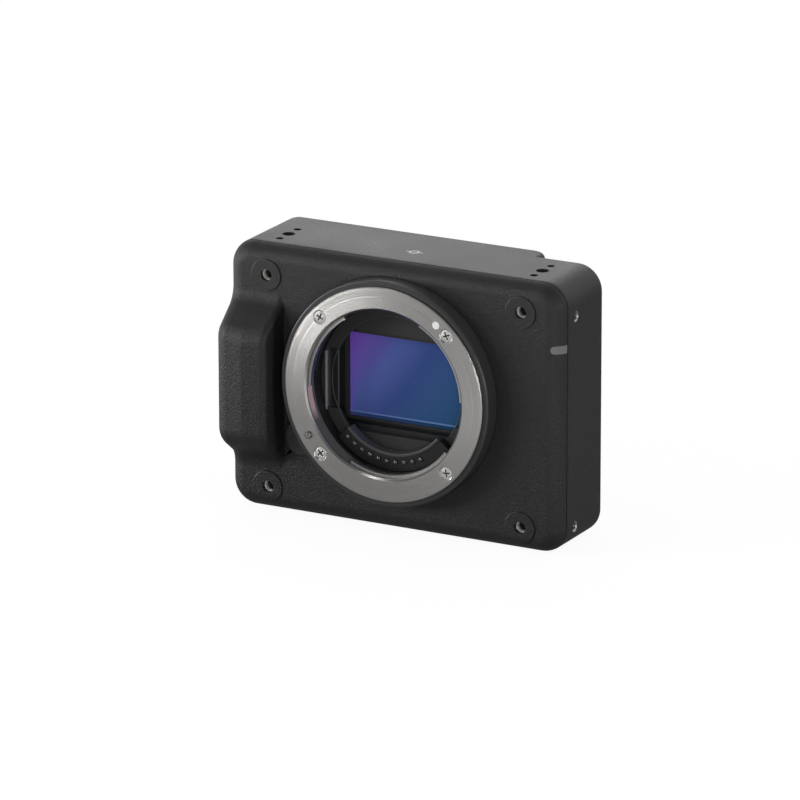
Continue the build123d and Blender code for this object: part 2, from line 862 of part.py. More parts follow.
# Contact block and its pins on an arc
contact_points = [
    polar(contact_circle, contact_centre_angle + (index - (contact_count - 1) / 2) * contact_pitch)
    for index in range(contact_count)
]
with BuildPart() as contact_block:
    with BuildSketch(on_axis(contact_front)):
        add(sector(contact_inner_radius, contact_outer_radius, *contact_span))
    extrude(amount=contact_front - chamber_front)
    with BuildSketch(on_axis(contact_front - contact_rim_rise)):
        add(sector(contact_inner_radius, contact_inner_radius + contact_rim_width, *contact_span))
    extrude(amount=-contact_rim_rise)
    block_face = contact_block.faces().sort_by(Axis.Y)[0]
    block_arcs = block_face.edges().filter_by(GeomType.CIRCLE).sort_by(SortBy.RADIUS)
    fillet(block_arcs, contact_rim_width * 0.3)
    with BuildSketch(on_axis(contact_front)):
        with Locations(*contact_points):
            Circle(contact_radius + pin_gap)
    extrude(amount=-contact_front / 3, mode=Mode.SUBTRACT)
finish(contact_block, "contact_block")

with BuildPart() as contact_pins:
    with BuildSketch(on_axis(contact_front - contact_proud)):
        with Locations(*contact_points):
            Circle(contact_radius)
    extrude(amount=-contact_proud - contact_front / 3)
    tips = contact_pins.faces().filter_by(Axis.Y).group_by(Axis.Y)[0]
    fillet(tips.edges(), 0.25)
finish(contact_pins, "contact_pins")

# Chamber: a disc with a round lip, a flat-sided opening and a rear flange
with BuildPart() as chamber_baffle:
    with BuildSketch(on_axis(chamber_front)):
        Circle(chamber_radius)
    extrude(amount=chamber_front - web_back)
    with BuildSketch(on_axis(web_back)):
        Circle(chamber_flange_radius)
    extrude(amount=-chamber_flange)
    with BuildSketch(on_axis(chamber_front + chamber_lip_thickness)):
        Circle(chamber_bore)
        Rectangle(2 * chamber_side_x, chamber_bore_height, mode=Mode.INTERSECT)
    extrude(amount=chamber_front + chamber_lip_thickness - shutter_front_depth, mode=Mode.SUBTRACT)
    with BuildSketch(on_axis(chamber_front)):
        Circle(chamber_lip_radius)
    extrude(amount=-chamber_lip_thickness, mode=Mode.SUBTRACT)
    side_plan_front = flange_y + chamber_front
    with BuildSketch(Plane.XY.offset(axis_height - chamber_side_height / 2)):
        with BuildLine():
            Polyline(
                (-chamber_side_x - chamber_side_bevel, side_plan_front),
                (chamber_side_x + chamber_side_bevel, side_plan_front),
                (chamber_side_x, side_plan_front + chamber_lip_thickness),
                (-chamber_side_x, side_plan_front + chamber_lip_thickness),
                close=True,
            )
        make_face()
    extrude(amount=chamber_side_height, mode=Mode.SUBTRACT)
finish(chamber_baffle, "chamber_baffle")

# Shutter
bracket_corner = polar(bracket_inner, release_angle)[0] - bracket_half_width * sin(radians(release_angle))
shutter_width = -2 * (bracket_corner + running_gap)
shutter_height = shutter_top - shutter_bottom
shutter_centre = (shutter_top + shutter_bottom) / 2
blade_width = shutter_width - 2 * shutter_rail_width - 2 * blade_gap
blade_height = aperture_height / 2 + blade_margin + blade_overlap
blade_pitch = blade_thickness + blade_gap
first_blade_depth = shutter_front_depth + shutter_plate + blade_gap
shutter_back_depth = first_blade_depth + 4 * blade_pitch
blade_rest = aperture_height / 2 + blade_margin + blade_height / 2

with BuildPart() as shutter_front_plate:
    with BuildSketch(facing(shutter_front_depth)):
        with Locations((0, shutter_centre)):
            RectangleRounded(shutter_width, shutter_height, 2.0)
    extrude(amount=-shutter_plate)
    with BuildSketch(on_axis(shutter_front_depth)):
        Rectangle(aperture_width, aperture_height)
    extrude(amount=-shutter_plate, mode=Mode.SUBTRACT)
    front_edges = shutter_front_plate.faces().sort_by(Axis.Y)[0].edges().filter_by(Axis.Z)
    chamfer(front_edges.filter_by_position(Axis.X, -aperture_width / 2, aperture_width / 2), shutter_bevel)
finish(shutter_front_plate, "shutter_front_plate")

with BuildPart() as shutter_back_plate:
    with BuildSketch(facing(shutter_back_depth)):
        with Locations((0, shutter_centre)):
            RectangleRounded(shutter_width, shutter_height, 2.0)
    extrude(amount=-holder_lip)
    with BuildSketch(on_axis(shutter_back_depth)):
        Rectangle(aperture_width, aperture_height)
    extrude(amount=-holder_lip, mode=Mode.SUBTRACT)
finish(shutter_back_plate, "shutter_back_plate")

with BuildPart() as shutter_rails:
    with BuildSketch(facing(shutter_front_depth + shutter_plate)):
        rail_x = (shutter_width - shutter_rail_width) / 2
        with Locations((-rail_x, shutter_centre), (rail_x, shutter_centre)):
            Rectangle(shutter_rail_width, shutter_height - 4.0)
    extrude(amount=shutter_front_depth + shutter_plate - shutter_back_depth)
finish(shutter_rails, "shutter_rails")

blade_names = ["front_curtain_lead", "front_curtain_follower", "rear_curtain_lead", "rear_curtain_follower"]
blade_places = [-blade_rest, -blade_rest, blade_rest, blade_rest]
for layer, blade_name in enumerate(blade_names):
    with BuildPart() as curtain_blade:
        with BuildSketch(on_axis(first_blade_depth + layer * blade_pitch)):
            with Locations((0, blade_places[layer])):
                RectangleRounded(blade_width, blade_height, 0.8)
        extrude(amount=-blade_thickness)
    finish(curtain_blade, blade_name)

with BuildPart() as shutter_motor:
    motor_plane = Plane.XY.offset(axis_height - shutter_motor_length / 2)
    motor_x = shutter_width / 2 + running_gap + shutter_motor_radius
    motor_y = flange_y + web_back + running_gap + shutter_motor_radius
    with BuildSketch(motor_plane):
        with Locations((motor_x, motor_y)):
            Circle(shutter_motor_radius)
    extrude(amount=shutter_motor_length)
    with BuildSketch(motor_plane.offset(shutter_motor_length)):
        with Locations((motor_x, motor_y)):
            Circle(shutter_motor_radius / 4)
    extrude(amount=2.0)
finish(shutter_motor, "shutter_motor")

# Filter, holder, gasket and sensor
holder_depth = shutter_back_depth + holder_lip
filter_depth = holder_depth + holder_lip
filter_back = filter_depth + filter_thickness
cover_glass_depth = filter_back + gasket_thickness
package_front = cover_glass_depth + cover_glass_thickness
die_back = sensor_plane_depth + die_thickness

with BuildPart() as filter_holder:
    with BuildSketch(on_axis(holder_depth)):
        RectangleRounded(holder_width, holder_height, 1.5)
        Rectangle(filter_window_width, filter_window_height, mode=Mode.SUBTRACT)
    extrude(amount=-holder_lip)
    with BuildSketch(on_axis(filter_depth)):
        RectangleRounded(holder_width, holder_height, 1.5)
        Rectangle(filter_width + fit_gap, filter_height + fit_gap, mode=Mode.SUBTRACT)
    extrude(amount=-filter_thickness)
finish(filter_holder, "filter_holder")

with BuildPart() as filter_glass:
    with BuildSketch(on_axis(filter_depth)):
        Rectangle(filter_width, filter_height)
    extrude(amount=-filter_thickness)
finish(filter_glass, "filter_glass")

with BuildPart() as filter_gasket:
    with BuildSketch(on_axis(filter_back)):
        Rectangle(filter_width + 2.0, filter_height + 2.0)
        Rectangle(filter_width - 1.4, filter_height - 1.4, mode=Mode.SUBTRACT)
    extrude(amount=-gasket_thickness)
finish(filter_gasket, "filter_gasket")

with BuildPart() as sensor_cover_glass:
    with BuildSketch(on_axis(cover_glass_depth)):
        Rectangle(die_width + 4.0, die_height + 4.0)
    extrude(amount=-cover_glass_thickness)
finish(sensor_cover_glass, "sensor_cover_glass")

with BuildPart() as sensor_package:
    with BuildSketch(on_axis(package_front)):
        Rectangle(package_width, package_height)
    extrude(amount=package_front - package_back)
    with BuildSketch(on_axis(package_front)):
        Rectangle(die_width + 2 * fit_gap, die_height + 2 * fit_gap)
    extrude(amount=package_front - die_back, mode=Mode.SUBTRACT)
finish(sensor_package, "sensor_package")

with BuildPart() as sensor_die:
    with BuildSketch(on_axis(sensor_plane_depth)):
        Rectangle(die_width, die_height)
    extrude(amount=-die_thickness)
finish(sensor_die, "sensor_die")

sensor_board_back = package_back + sensor_board_thickness
with BuildPart() as sensor_board:
    with BuildSketch(on_axis(package_back)):
        RectangleRounded(sensor_board_width, sensor_board_height, 1.5)
    extrude(amount=-sensor_board_thickness)
finish(sensor_board, "sensor_board")

with BuildPart() as sensor_pad:
    with BuildSketch(on_axis(sensor_board_back)):
        Rectangle(die_width, die_height)
    extrude(amount=sensor_board_back - sensor_plate_depth)
finish(sensor_pad, "sensor_pad")

with BuildPart() as sensor_plate:
    with BuildSketch(on_axis(sensor_plate_depth)):
        RectangleRounded(sensor_plate_width, sensor_plate_height, 3.0)
        with Locations((-sensor_plate_width / 2, -sensor_plate_height / 2)):
            Rectangle(2 * sensor_plate_notch, 2 * sensor_plate_notch, mode=Mode.SUBTRACT)
    extrude(amount=-sensor_plate_thickness)
    with BuildSketch(facing(sensor_plate_depth)):
        with Locations(*sensor_posts):
            Circle(rear_screw_radius + fit_gap)
    extrude(amount=-sensor_plate_thickness, mode=Mode.SUBTRACT)
finish(sensor_plate, "sensor_plate")

sensor_plate_back = sensor_plate_depth + sensor_plate_thickness


def behind(depth):
    """Plane at a depth whose normal points to the rear, x to the left seen from the front."""
    return Plane(origin=(0, flange_y + depth, 0), x_dir=(-1, 0, 0), z_dir=(0, 1, 0))


def seen_from_behind(points):
    """Front-view points as points of a rear-facing plane."""
    return [(-x, height) for x, height in points]


# Main board on the corner blocks, with its chips and the heat spreader
board_back = board_seat_depth + board_thickness
chip_back = board_back + chip_height
board_width = body_width - 2 * (frame_wall + board_gap)
board_height = body_height - 2 * (frame_wall + board_gap)
board_notch = 2 * (rear_column_radius + board_gap) + 2.0
tripod_pad_width = 3 * tripod_outer_radius
tripod_pad_height = tripod_length + frame_wall

with BuildPart() as main_board:
    with BuildSketch(facing(board_seat_depth)):
        with Locations((0, body_height / 2)):
            Rectangle(board_width, board_height)
        with Locations(*rear_columns):
            Rectangle(board_notch, board_notch, mode=Mode.SUBTRACT)
        with Locations((0, 0)):
            Rectangle(tripod_pad_width + board_gap, 2 * tripod_pad_height, mode=Mode.SUBTRACT)
        with Locations(*fix_points):
            Circle(rear_screw_radius + fit_gap, mode=Mode.SUBTRACT)
    extrude(amount=-board_thickness)
finish(main_board, "main_board")

with BuildPart() as processor_chip:
    with BuildSketch(facing(board_back)):
        with Locations((processor_x, processor_z)):
            Rectangle(processor_size, processor_size)
    extrude(amount=-chip_height)
    chamfer(processor_chip.faces().sort_by(Axis.Y)[-1].edges(), 0.2)
finish(processor_chip, "processor_chip")

with BuildPart() as memory_chips:
    with BuildSketch(facing(board_back)):
        with Locations(
            *[
                (processor_x + side * memory_offset, processor_z + step * memory_step / 2)
                for side in (-1, 1)
                for step in (-1, 1)
            ]
        ):
            Rectangle(memory_width, memory_height)
    extrude(amount=-chip_height)
finish(memory_chips, "memory_chips")

# Heat spreader: a plate on the chips with four folded feet on the board
spreader_foot_x = spreader_width / 2 - 2.0
spreader_foot_z = spreader_height / 2 - spreader_thickness / 2
with BuildPart() as heat_spreader:
    with BuildSketch(facing(chip_back)):
        with Locations((processor_x, processor_z)):
            RectangleRounded(spreader_width, spreader_height, 1.0)
    extrude(amount=-spreader_thickness)
    with BuildSketch(facing(board_back)):
        with Locations(
            *[
                (processor_x + side * spreader_foot_x, processor_z + step * spreader_foot_z)
                for side in (-1, 1)
                for step in (-1, 1)
            ]
        ):
            Rectangle(4.0, spreader_thickness)
    extrude(amount=-chip_height)
finish(heat_spreader, "heat_spreader")

# Power board inside the grip, on the front of the web
with BuildPart() as power_board:
    with BuildSketch(facing(power_board_depth)):
        with Locations((power_board_x, power_board_z)):
            RectangleRounded(power_board_width, power_board_height, 1.0)
    extrude(amount=-board_thickness)
finish(power_board, "power_board")

with BuildPart() as power_capacitors:
    with BuildSketch(facing(power_board_depth - capacitor_length)):
        with Locations(*[(power_board_x, power_board_z + step * capacitor_pitch) for step in (-1, 0, 1)]):
            Circle(capacitor_radius)
    extrude(amount=-capacitor_length)
    fillet(power_capacitors.faces().filter_by(Axis.Y).group_by(Axis.Y)[0].edges(), 0.4)
finish(power_capacitors, "power_capacitors")

# Rear cover: thin plate, raised part with a rounded end, and the drafted panel
rear_board_back = rear_board_depth + rear_board_thickness
raised_inner = raised_back_depth - cover_wall
panel_inner = rear_face_depth - panel_wall
raised_x = (raised_right_x - half_width) / 2
cavity_right_x = raised_right_x - raised_end_radius
panel_width = panel_right_x - panel_left_x
panel_x = (panel_right_x + panel_left_x) / 2
panel_height = body_height - 2 * panel_margin
cover_screw_depth = thin_back_depth - rear_screw_head_height
pin_clearance = door_pin_radius + pin_gap
door_back_depth = door_hinge_depth + door_barrel_radius
door_top = door_bottom + door_height
door_opening = half_width + door_hinge_x + door_barrel_radius + running_gap

with BuildPart() as raised_block:
    with BuildSketch(Plane.XY) as raised_plan:
        with Locations((raised_x, flange_y + (rear_seam_depth + raised_back_depth) / 2)):
            Rectangle(half_width + raised_right_x, raised_back_depth - rear_seam_depth)
        fillet(
            raised_plan.vertices().group_by(Axis.X)[-1].sort_by(Axis.Y)[-1],
            raised_end_radius,
        )
    extrude(amount=body_height)
    with BuildSketch(facing(rear_seam_depth)):
        with Locations((0, body_height / 2)):
            RectangleRounded(body_width, body_height, corner_radius)
    extrude(amount=rear_seam_depth - raised_back_depth, mode=Mode.INTERSECT)
    raised_face = raised_block.faces().sort_by(Axis.Y)[-1]
    fillet(raised_face.edges().sort_by(Axis.X)[:-1], rear_edge_radius)

with BuildPart() as panel_block:
    with BuildSketch(facing(raised_back_depth)):
        with Locations((panel_x, body_height / 2)):
            RectangleRounded(panel_width, panel_height, panel_radius)
    extrude(amount=raised_back_depth - rear_face_depth, taper=panel_draft)
    fillet(panel_block.faces().sort_by(Axis.Y)[-1].edges(), 0.6)

with BuildPart() as cover_cavity:
    with BuildSketch(facing(rear_seam_depth)):
        with Locations((0, body_height / 2)):
            RectangleRounded(
                body_width - 2 * cover_wall,
                body_height - 2 * cover_wall,
                corner_radius - cover_wall,
            )
    extrude(amount=rear_seam_depth - thin_back_depth + cover_wall)
    with BuildSketch(facing(rear_seam_depth)):
        with Locations(((cavity_right_x - half_width + cover_wall) / 2, body_height / 2)):
            Rectangle(cavity_right_x + half_width - cover_wall, body_height - 2 * cover_wall)
        with Locations((0, body_height / 2)):
            RectangleRounded(
                body_width - 2 * cover_wall,
                body_height - 2 * cover_wall,
                corner_radius - cover_wall,
                mode=Mode.INTERSECT,
            )
    extrude(amount=rear_seam_depth - raised_inner)
    with BuildSketch(facing(raised_inner)):
        with Locations((panel_x, body_height / 2)):
            RectangleRounded(
                panel_width - 2 * panel_wall,
                panel_height - 2 * panel_wall,
                panel_radius / 2,
            )
    extrude(amount=raised_inner - panel_inner)

with BuildPart() as rear_cover:
    with BuildSketch(facing(rear_seam_depth)):
        with Locations((0, body_height / 2)):
            RectangleRounded(body_width, body_height, corner_radius)
    extrude(amount=rear_seam_depth - thin_back_depth)
    thin_edges = rear_cover.faces().sort_by(Axis.Y)[-1].edges()
    fillet(thin_edges, rear_edge_radius)
    add(raised_block.part)
    add(panel_block.part)
    add(cover_cavity.part, mode=Mode.SUBTRACT)
    # Columns for the cover screws and posts for the rear board
    with BuildSketch(facing(rear_seam_depth)):
        with Locations(*rear_columns):
            Circle(rear_column_radius + running_gap)
    extrude(amount=rear_seam_depth - thin_back_depth + fit_gap)
    with BuildSketch(facing(rear_seam_depth)):
        with Locations(*[(x, height) for x, height in rear_columns if x < 0]):
            Circle(rear_column_radius + running_gap)
    extrude(amount=rear_seam_depth - raised_inner - fit_gap)
    with BuildSketch(facing(rear_board_back)):
        with Locations(*rear_post_points):
            Circle(rear_post_radius)
    extrude(amount=rear_board_back - panel_inner - fit_gap)
    with BuildSketch(facing(rear_seam_depth)):
        with Locations(*rear_columns):
            Circle(rear_screw_radius + fit_gap)
    extrude(amount=rear_seam_depth - rear_face_depth, mode=Mode.SUBTRACT)
    with BuildSketch(facing(cover_screw_depth)):
        with Locations(*rear_columns):
            Circle(rear_screw_head_radius + running_gap)
    extrude(amount=cover_screw_depth - rear_face_depth, mode=Mode.SUBTRACT)
    with BuildSketch(facing(rear_board_back)):
        with Locations(*rear_post_points):
            Circle(rear_screw_radius + pin_gap)
    extrude(amount=-board_screw_length, mode=Mode.SUBTRACT)
    # Key, socket and door openings
    for height, radius in zip(key_heights, key_radii):
        with BuildSketch(facing(raised_inner)):
            with Locations((key_x, height)):
                Circle(radius + running_gap)
        extrude(amount=raised_inner - rear_face_depth - running_gap, mode=Mode.SUBTRACT)
    with BuildSketch(facing(raised_inner)):
        with Locations((socket_x, power_socket_z)):
            Circle(power_socket_radius + fit_gap)
        for height, width, tall in socket_sizes:
            with Locations((socket_x, height)):
                RectangleRounded(width + 2 * fit_gap, tall + 2 * fit_gap, tall / 4)
    extrude(amount=raised_inner - rear_face_depth - running_gap, mode=Mode.SUBTRACT)
    with BuildSketch(facing(door_front_depth - running_gap)):
        with Locations((-half_width, (door_bottom + door_top) / 2)):
            Rectangle(2 * door_opening, door_height + 2 * running_gap)
    extrude(amount=door_front_depth - door_back_depth - 2 * running_gap, mode=Mode.SUBTRACT)
    with BuildSketch(Plane.XY.offset(door_bottom - door_pin_reach)):
        with Locations((door_hinge_x, flange_y + door_hinge_depth)):
            Circle(door_pin_radius)
    extrude(amount=door_height + 2 * door_pin_reach, mode=Mode.SUBTRACT)
finish(rear_cover, "rear_cover")

cover_screw_form = pan_screw(
    rear_screw_radius,
    rear_screw_head_radius,
    rear_screw_head_height,
    rear_screw_length,
)
with BuildPart() as rear_cover_screws:
    with Locations(behind(cover_screw_depth)):
        with Locations(*seen_from_behind(rear_columns)):
            add(cover_screw_form)
finish(rear_cover_screws, "rear_cover_screws")

# Rear board with the parts it carries
rear_board_right = cavity_right_x - rear_board_margin
rear_board_left = -half_width + cover_wall + rear_board_margin
rear_board_low = cover_wall + rear_board_margin
with BuildPart() as rear_board:
    with BuildSketch(facing(rear_board_depth)):
        with Locations(((rear_board_left + rear_board_right) / 2, body_height / 2)):
            Rectangle(rear_board_right - rear_board_left, body_height - 2 * rear_board_low)
        with Locations(*[(x, height) for x, height in rear_columns if x < 0]):
            Rectangle(board_notch, board_notch, mode=Mode.SUBTRACT)
        with Locations(*rear_post_points):
            Circle(rear_screw_radius + fit_gap, mode=Mode.SUBTRACT)
    extrude(amount=-rear_board_thickness)
finish(rear_board, "rear_board")

board_screw_form = pan_screw(
    rear_screw_radius,
    rear_screw_head_radius,
    board_screw_head_height,
    board_screw_length,
)
with BuildPart() as board_screws:
    with Locations(behind(sensor_plate_back)):
        with Locations(*seen_from_behind(sensor_posts)):
            add(board_screw_form)
    with Locations(behind(board_back)):
        with Locations(*seen_from_behind(fix_points)):
            add(board_screw_form)
    with Locations(facing(rear_board_depth)):
        with Locations(*rear_post_points):
            add(board_screw_form)
finish(board_screws, "board_screws")

with BuildPart() as board_connector:
    with BuildSketch(facing(board_back)):
        with Locations((connector_x, connector_z)):
            Rectangle(connector_width, connector_height)
    extrude(amount=board_back - rear_board_depth)
finish(board_connector, "board_connector")

key_front = panel_inner - key_rim_thickness
switch_stem = key_front - rear_board_back - switch_body - key_travel - pin_gap
with BuildPart() as key_switches:
    with BuildSketch(facing(rear_board_back)):
        with Locations(*[(key_x, height) for height in key_heights]):
            Rectangle(switch_size, switch_size)
    extrude(amount=-switch_body)
    with BuildSketch(facing(rear_board_back + switch_body)):
        with Locations(*[(key_x, height) for height in key_heights]):
            Circle(switch_stem_radius)
    extrude(amount=-switch_stem)
finish(key_switches, "key_switches")

key_names = ["power_key", "shutter_key", "menu_key", "up_key", "down_key"]
for key_name, height, radius in zip(key_names, key_heights, key_radii):
    with BuildPart() as key:
        with BuildSketch(facing(key_front)):
            with Locations((key_x, height)):
                Circle(radius + key_rim)
        extrude(amount=-key_rim_thickness)
        with BuildSketch(facing(panel_inner)):
            with Locations((key_x, height)):
                Circle(radius)
        extrude(amount=panel_inner - rear_face_depth - key_proud)
        fillet(key.faces().sort_by(Axis.Y)[-1].edges(), 0.35)
    finish(key, key_name)

# Sockets on the rear board
socket_back = rear_face_depth - socket_recess
socket_mouth = socket_back - socket_depth
with BuildPart() as power_socket:
    with BuildSketch(facing(rear_board_back)):
        with Locations((socket_x, power_socket_z)):
            Circle(power_socket_radius)
    extrude(amount=rear_board_back - socket_back)
    with BuildSketch(facing(socket_mouth)):
        with Locations((socket_x, power_socket_z)):
            Circle(power_socket_radius - socket_shell)
            Circle(power_pin_radius, mode=Mode.SUBTRACT)
    extrude(amount=socket_mouth - socket_back, mode=Mode.SUBTRACT)
finish(power_socket, "power_socket")

socket_names = ["data_socket", "video_socket", "control_socket"]
for socket_name, (height, width, tall) in zip(socket_names, socket_sizes):
    with BuildPart() as socket:
        with BuildSketch(facing(rear_board_back)):
            with Locations((socket_x, height)):
                RectangleRounded(width, tall, tall / 4)
        extrude(amount=rear_board_back - socket_back)
        with BuildSketch(facing(socket_mouth)):
            with Locations((socket_x, height)):
                RectangleRounded(
                    width - 2 * socket_wall,
                    tall - 2 * socket_wall,
                    tall / 4 - socket_wall / 2,
                )
                Rectangle(width * 0.7, socket_tongue, mode=Mode.SUBTRACT)
        extrude(amount=socket_mouth - socket_back, mode=Mode.SUBTRACT)
    finish(socket, socket_name)

# Card bay
card_slot_x = door_hinge_x + door_barrel_radius + running_gap * 2 + card_slot_length / 2
card_slot_z = (door_bottom + door_top) / 2
with BuildPart() as card_slot:
    with BuildSketch(facing(rear_board_depth)):
        with Locations((card_slot_x, card_slot_z)):
            Rectangle(card_slot_length, card_slot_height)
    extrude(amount=card_slot_thickness)
    with BuildSketch(Plane.YZ.offset(card_slot_x - card_slot_length / 2)):
        with Locations((flange_y + rear_board_depth - card_slot_thickness / 2, card_slot_z)):
            Rectangle(card_thickness, card_height)
    extrude(amount=card_slot_length - 2.0, mode=Mode.SUBTRACT)
finish(card_slot, "card_slot")

with BuildPart() as card_door:
    with BuildSketch(Plane.XY.offset(door_bottom)):
        with Locations(
            (-half_width + door_thickness / 2, flange_y + (door_front_depth + door_hinge_depth) / 2)
        ):
            Rectangle(door_thickness, door_hinge_depth - door_front_depth)
        with Locations((door_hinge_x, flange_y + door_hinge_depth)):
            Circle(door_barrel_radius)
        with Locations((door_hinge_x, flange_y + door_hinge_depth)):
            Circle(pin_clearance, mode=Mode.SUBTRACT)
    extrude(amount=door_height)
finish(card_door, "card_door")

with BuildPart() as door_pin:
    with BuildSketch(Plane.XY.offset(door_bottom - door_pin_reach)):
        with Locations((door_hinge_x, flange_y + door_hinge_depth)):
            Circle(door_pin_radius)
    extrude(amount=door_height + 2 * door_pin_reach)
finish(door_pin, "door_pin")
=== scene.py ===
"""Looks of a small box-shaped industrial camera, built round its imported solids."""
import json
import math

import bmesh
import bpy
import numpy as np
from mathutils import Matrix, Vector


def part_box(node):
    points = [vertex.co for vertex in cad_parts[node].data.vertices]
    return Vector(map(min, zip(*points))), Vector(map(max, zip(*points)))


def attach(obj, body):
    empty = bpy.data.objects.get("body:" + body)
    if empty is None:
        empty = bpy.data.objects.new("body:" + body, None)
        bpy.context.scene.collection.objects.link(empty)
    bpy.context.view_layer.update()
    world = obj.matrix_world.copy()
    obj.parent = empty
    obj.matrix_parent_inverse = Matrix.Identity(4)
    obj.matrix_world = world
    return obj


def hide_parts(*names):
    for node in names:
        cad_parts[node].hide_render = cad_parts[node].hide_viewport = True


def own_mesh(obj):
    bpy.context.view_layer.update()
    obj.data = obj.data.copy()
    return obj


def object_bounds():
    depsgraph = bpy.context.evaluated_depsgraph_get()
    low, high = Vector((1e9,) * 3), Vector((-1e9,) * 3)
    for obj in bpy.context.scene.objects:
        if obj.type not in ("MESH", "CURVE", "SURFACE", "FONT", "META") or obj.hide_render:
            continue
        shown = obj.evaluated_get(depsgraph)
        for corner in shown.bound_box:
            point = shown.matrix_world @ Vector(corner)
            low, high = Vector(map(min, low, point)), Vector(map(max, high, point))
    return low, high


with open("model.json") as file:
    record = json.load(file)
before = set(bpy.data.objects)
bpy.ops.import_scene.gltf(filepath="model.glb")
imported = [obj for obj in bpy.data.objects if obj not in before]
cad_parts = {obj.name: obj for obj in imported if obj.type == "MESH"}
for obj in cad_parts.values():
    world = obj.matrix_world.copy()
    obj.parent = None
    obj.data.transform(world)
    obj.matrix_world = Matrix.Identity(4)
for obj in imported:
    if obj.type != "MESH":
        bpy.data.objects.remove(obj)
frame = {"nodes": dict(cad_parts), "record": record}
nodes = frame["nodes"]
cad_low, cad_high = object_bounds()

MM = 0.001
ring_low, ring_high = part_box("mount_ring")
FLANGE_Y = ring_low[1]
AXIS_Z = (ring_low[2] + ring_high[2]) / 2
RING_BORE = 23.2 * MM
TOP_Z = cad_high[2]
filter_low, filter_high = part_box("filter_glass")
FILTER_HALF_WIDTH = (filter_high[0] - filter_low[0]) / 2
FILTER_HALF_HEIGHT = (filter_high[2] - filter_low[2]) / 2
FILTER_REACH = FILTER_HALF_WIDTH + 0.75 * FILTER_HALF_HEIGHT

# In millimetres: x right of the axis, depth behind the flange, height above the base
AXIS_HEIGHT = AXIS_Z / MM
SENSOR_DEPTH = 18.0
RING_SCREW_CIRCLE = 26.65
COVER_SCREW_DEPTH = 29.4
FIXING_X = (-38.0, 38.0)
FRONT_FIXING_HEIGHTS = (6.75, 65.75)
FRONT_INSERT_DEPTH = 6.6
TOP_INSERT_HEIGHT = 72.6
BOTTOM_INSERT_HEIGHT = 1.4
SIDE_INSERT_X = 49.85
SIDE_INSERT_DEPTH = 14.05
SIDE_INSERT_HEIGHTS = (6.5, 64.2)


def at(x, depth, height):
    """Point from millimetres right of the axis, behind the flange and above the base."""
    return np.array([x * MM, FLANGE_Y + depth * MM, height * MM])


# Node group helpers ---------------------------------------------------------


def link(tree, source, target):
    tree.links.new(source, target)


def math_node(tree, operation, first, second=None, third=None, clamp=False):
    """A Math node whose inputs are numbers or sockets."""
    node = tree.nodes.new("ShaderNodeMath")
    node.operation = operation
    node.use_clamp = clamp
    for socket, value in zip(node.inputs, (first, second, third)):
        if value is None:
            continue
        if isinstance(value, (int, float)):
            socket.default_value = value
        else:
            link(tree, value, socket)
    return node.outputs[0]


def vector_node(tree, operation, first, second=None, scale=None):
    """A Vector Math node whose inputs are triples or sockets."""
    node = tree.nodes.new("ShaderNodeVectorMath")
    node.operation = operation
    for socket, value in zip(node.inputs, (first, second)):
        if value is None:
            continue
        if isinstance(value, (tuple, list)):
            socket.default_value = value
        else:
            link(tree, value, socket)
    if scale is not None:
        if isinstance(scale, (int, float)):
            node.inputs["Scale"].default_value = scale
        else:
            link(tree, scale, node.inputs["Scale"])
    gives_number = operation in ("LENGTH", "DOT_PRODUCT", "DISTANCE")
    return node.outputs["Value" if gives_number else "Vector"]


def remap(tree, value, low, high, new_low, new_high):
    """Clamped linear change of a value from one range to another."""
    node = tree.nodes.new("ShaderNodeMapRange")
    node.clamp = True
    link(tree, value, node.inputs["Value"])
    limits = {"From Min": low, "From Max": high, "To Min": new_low, "To Max": new_high}
    for name, number in limits.items():
        node.inputs[name].default_value = number
    return node.outputs["Result"]


def noise(tree, coordinate, scale, detail=2.0, roughness=0.5):
    node = tree.nodes.new("ShaderNodeTexNoise")
    link(tree, coordinate, node.inputs["Vector"])
    if isinstance(scale, (int, float)):
        node.inputs["Scale"].default_value = scale
    else:
        link(tree, scale, node.inputs["Scale"])
    node.inputs["Detail"].default_value = detail
    node.inputs["Roughness"].default_value = roughness
    return node.outputs["Fac"]


def new_group(name, inputs, outputs):
    """An empty shader group with float inputs (name, value) and typed outputs."""
    tree = bpy.data.node_groups.new(name, "ShaderNodeTree")
    for socket_name, value in inputs:
        socket = tree.interface.new_socket(socket_name, in_out="INPUT", socket_type="NodeSocketFloat")
        socket.default_value = value
    for socket_name, kind in outputs:
        tree.interface.new_socket(socket_name, in_out="OUTPUT", socket_type="NodeSocket" + kind)
    entry = tree.nodes.new("NodeGroupInput")
    leave = tree.nodes.new("NodeGroupOutput")
    return tree, entry, leave


def object_point(tree):
    return tree.nodes.new("ShaderNodeTexCoord").outputs["Object"]


def build_paint_grain():
    """Fine crinkle of a sprayed coat from two noises, and a slow cloud for its colour and gloss."""
    tree, entry, leave = new_group(
        "paint_grain",
        [("Scale", 2600.0)],
        [("Height", "Float"), ("Cloud", "Float")],
    )
    point = object_point(tree)
    fine = noise(tree, point, entry.outputs["Scale"], 3.0, 0.65)
    coarse_scale = math_node(tree, "MULTIPLY", entry.outputs["Scale"], 0.37)
    coarse = noise(tree, point, coarse_scale, 1.0)
    fine_share = math_node(tree, "MULTIPLY", fine, 0.85)
    coarse_share = math_node(tree, "MULTIPLY", coarse, 0.15)
    height = math_node(tree, "ADD", fine_share, coarse_share)
    cloud = noise(tree, point, 38.0, 2.0)
    link(tree, height, leave.inputs["Height"])
    link(tree, cloud, leave.inputs["Cloud"])
    return tree


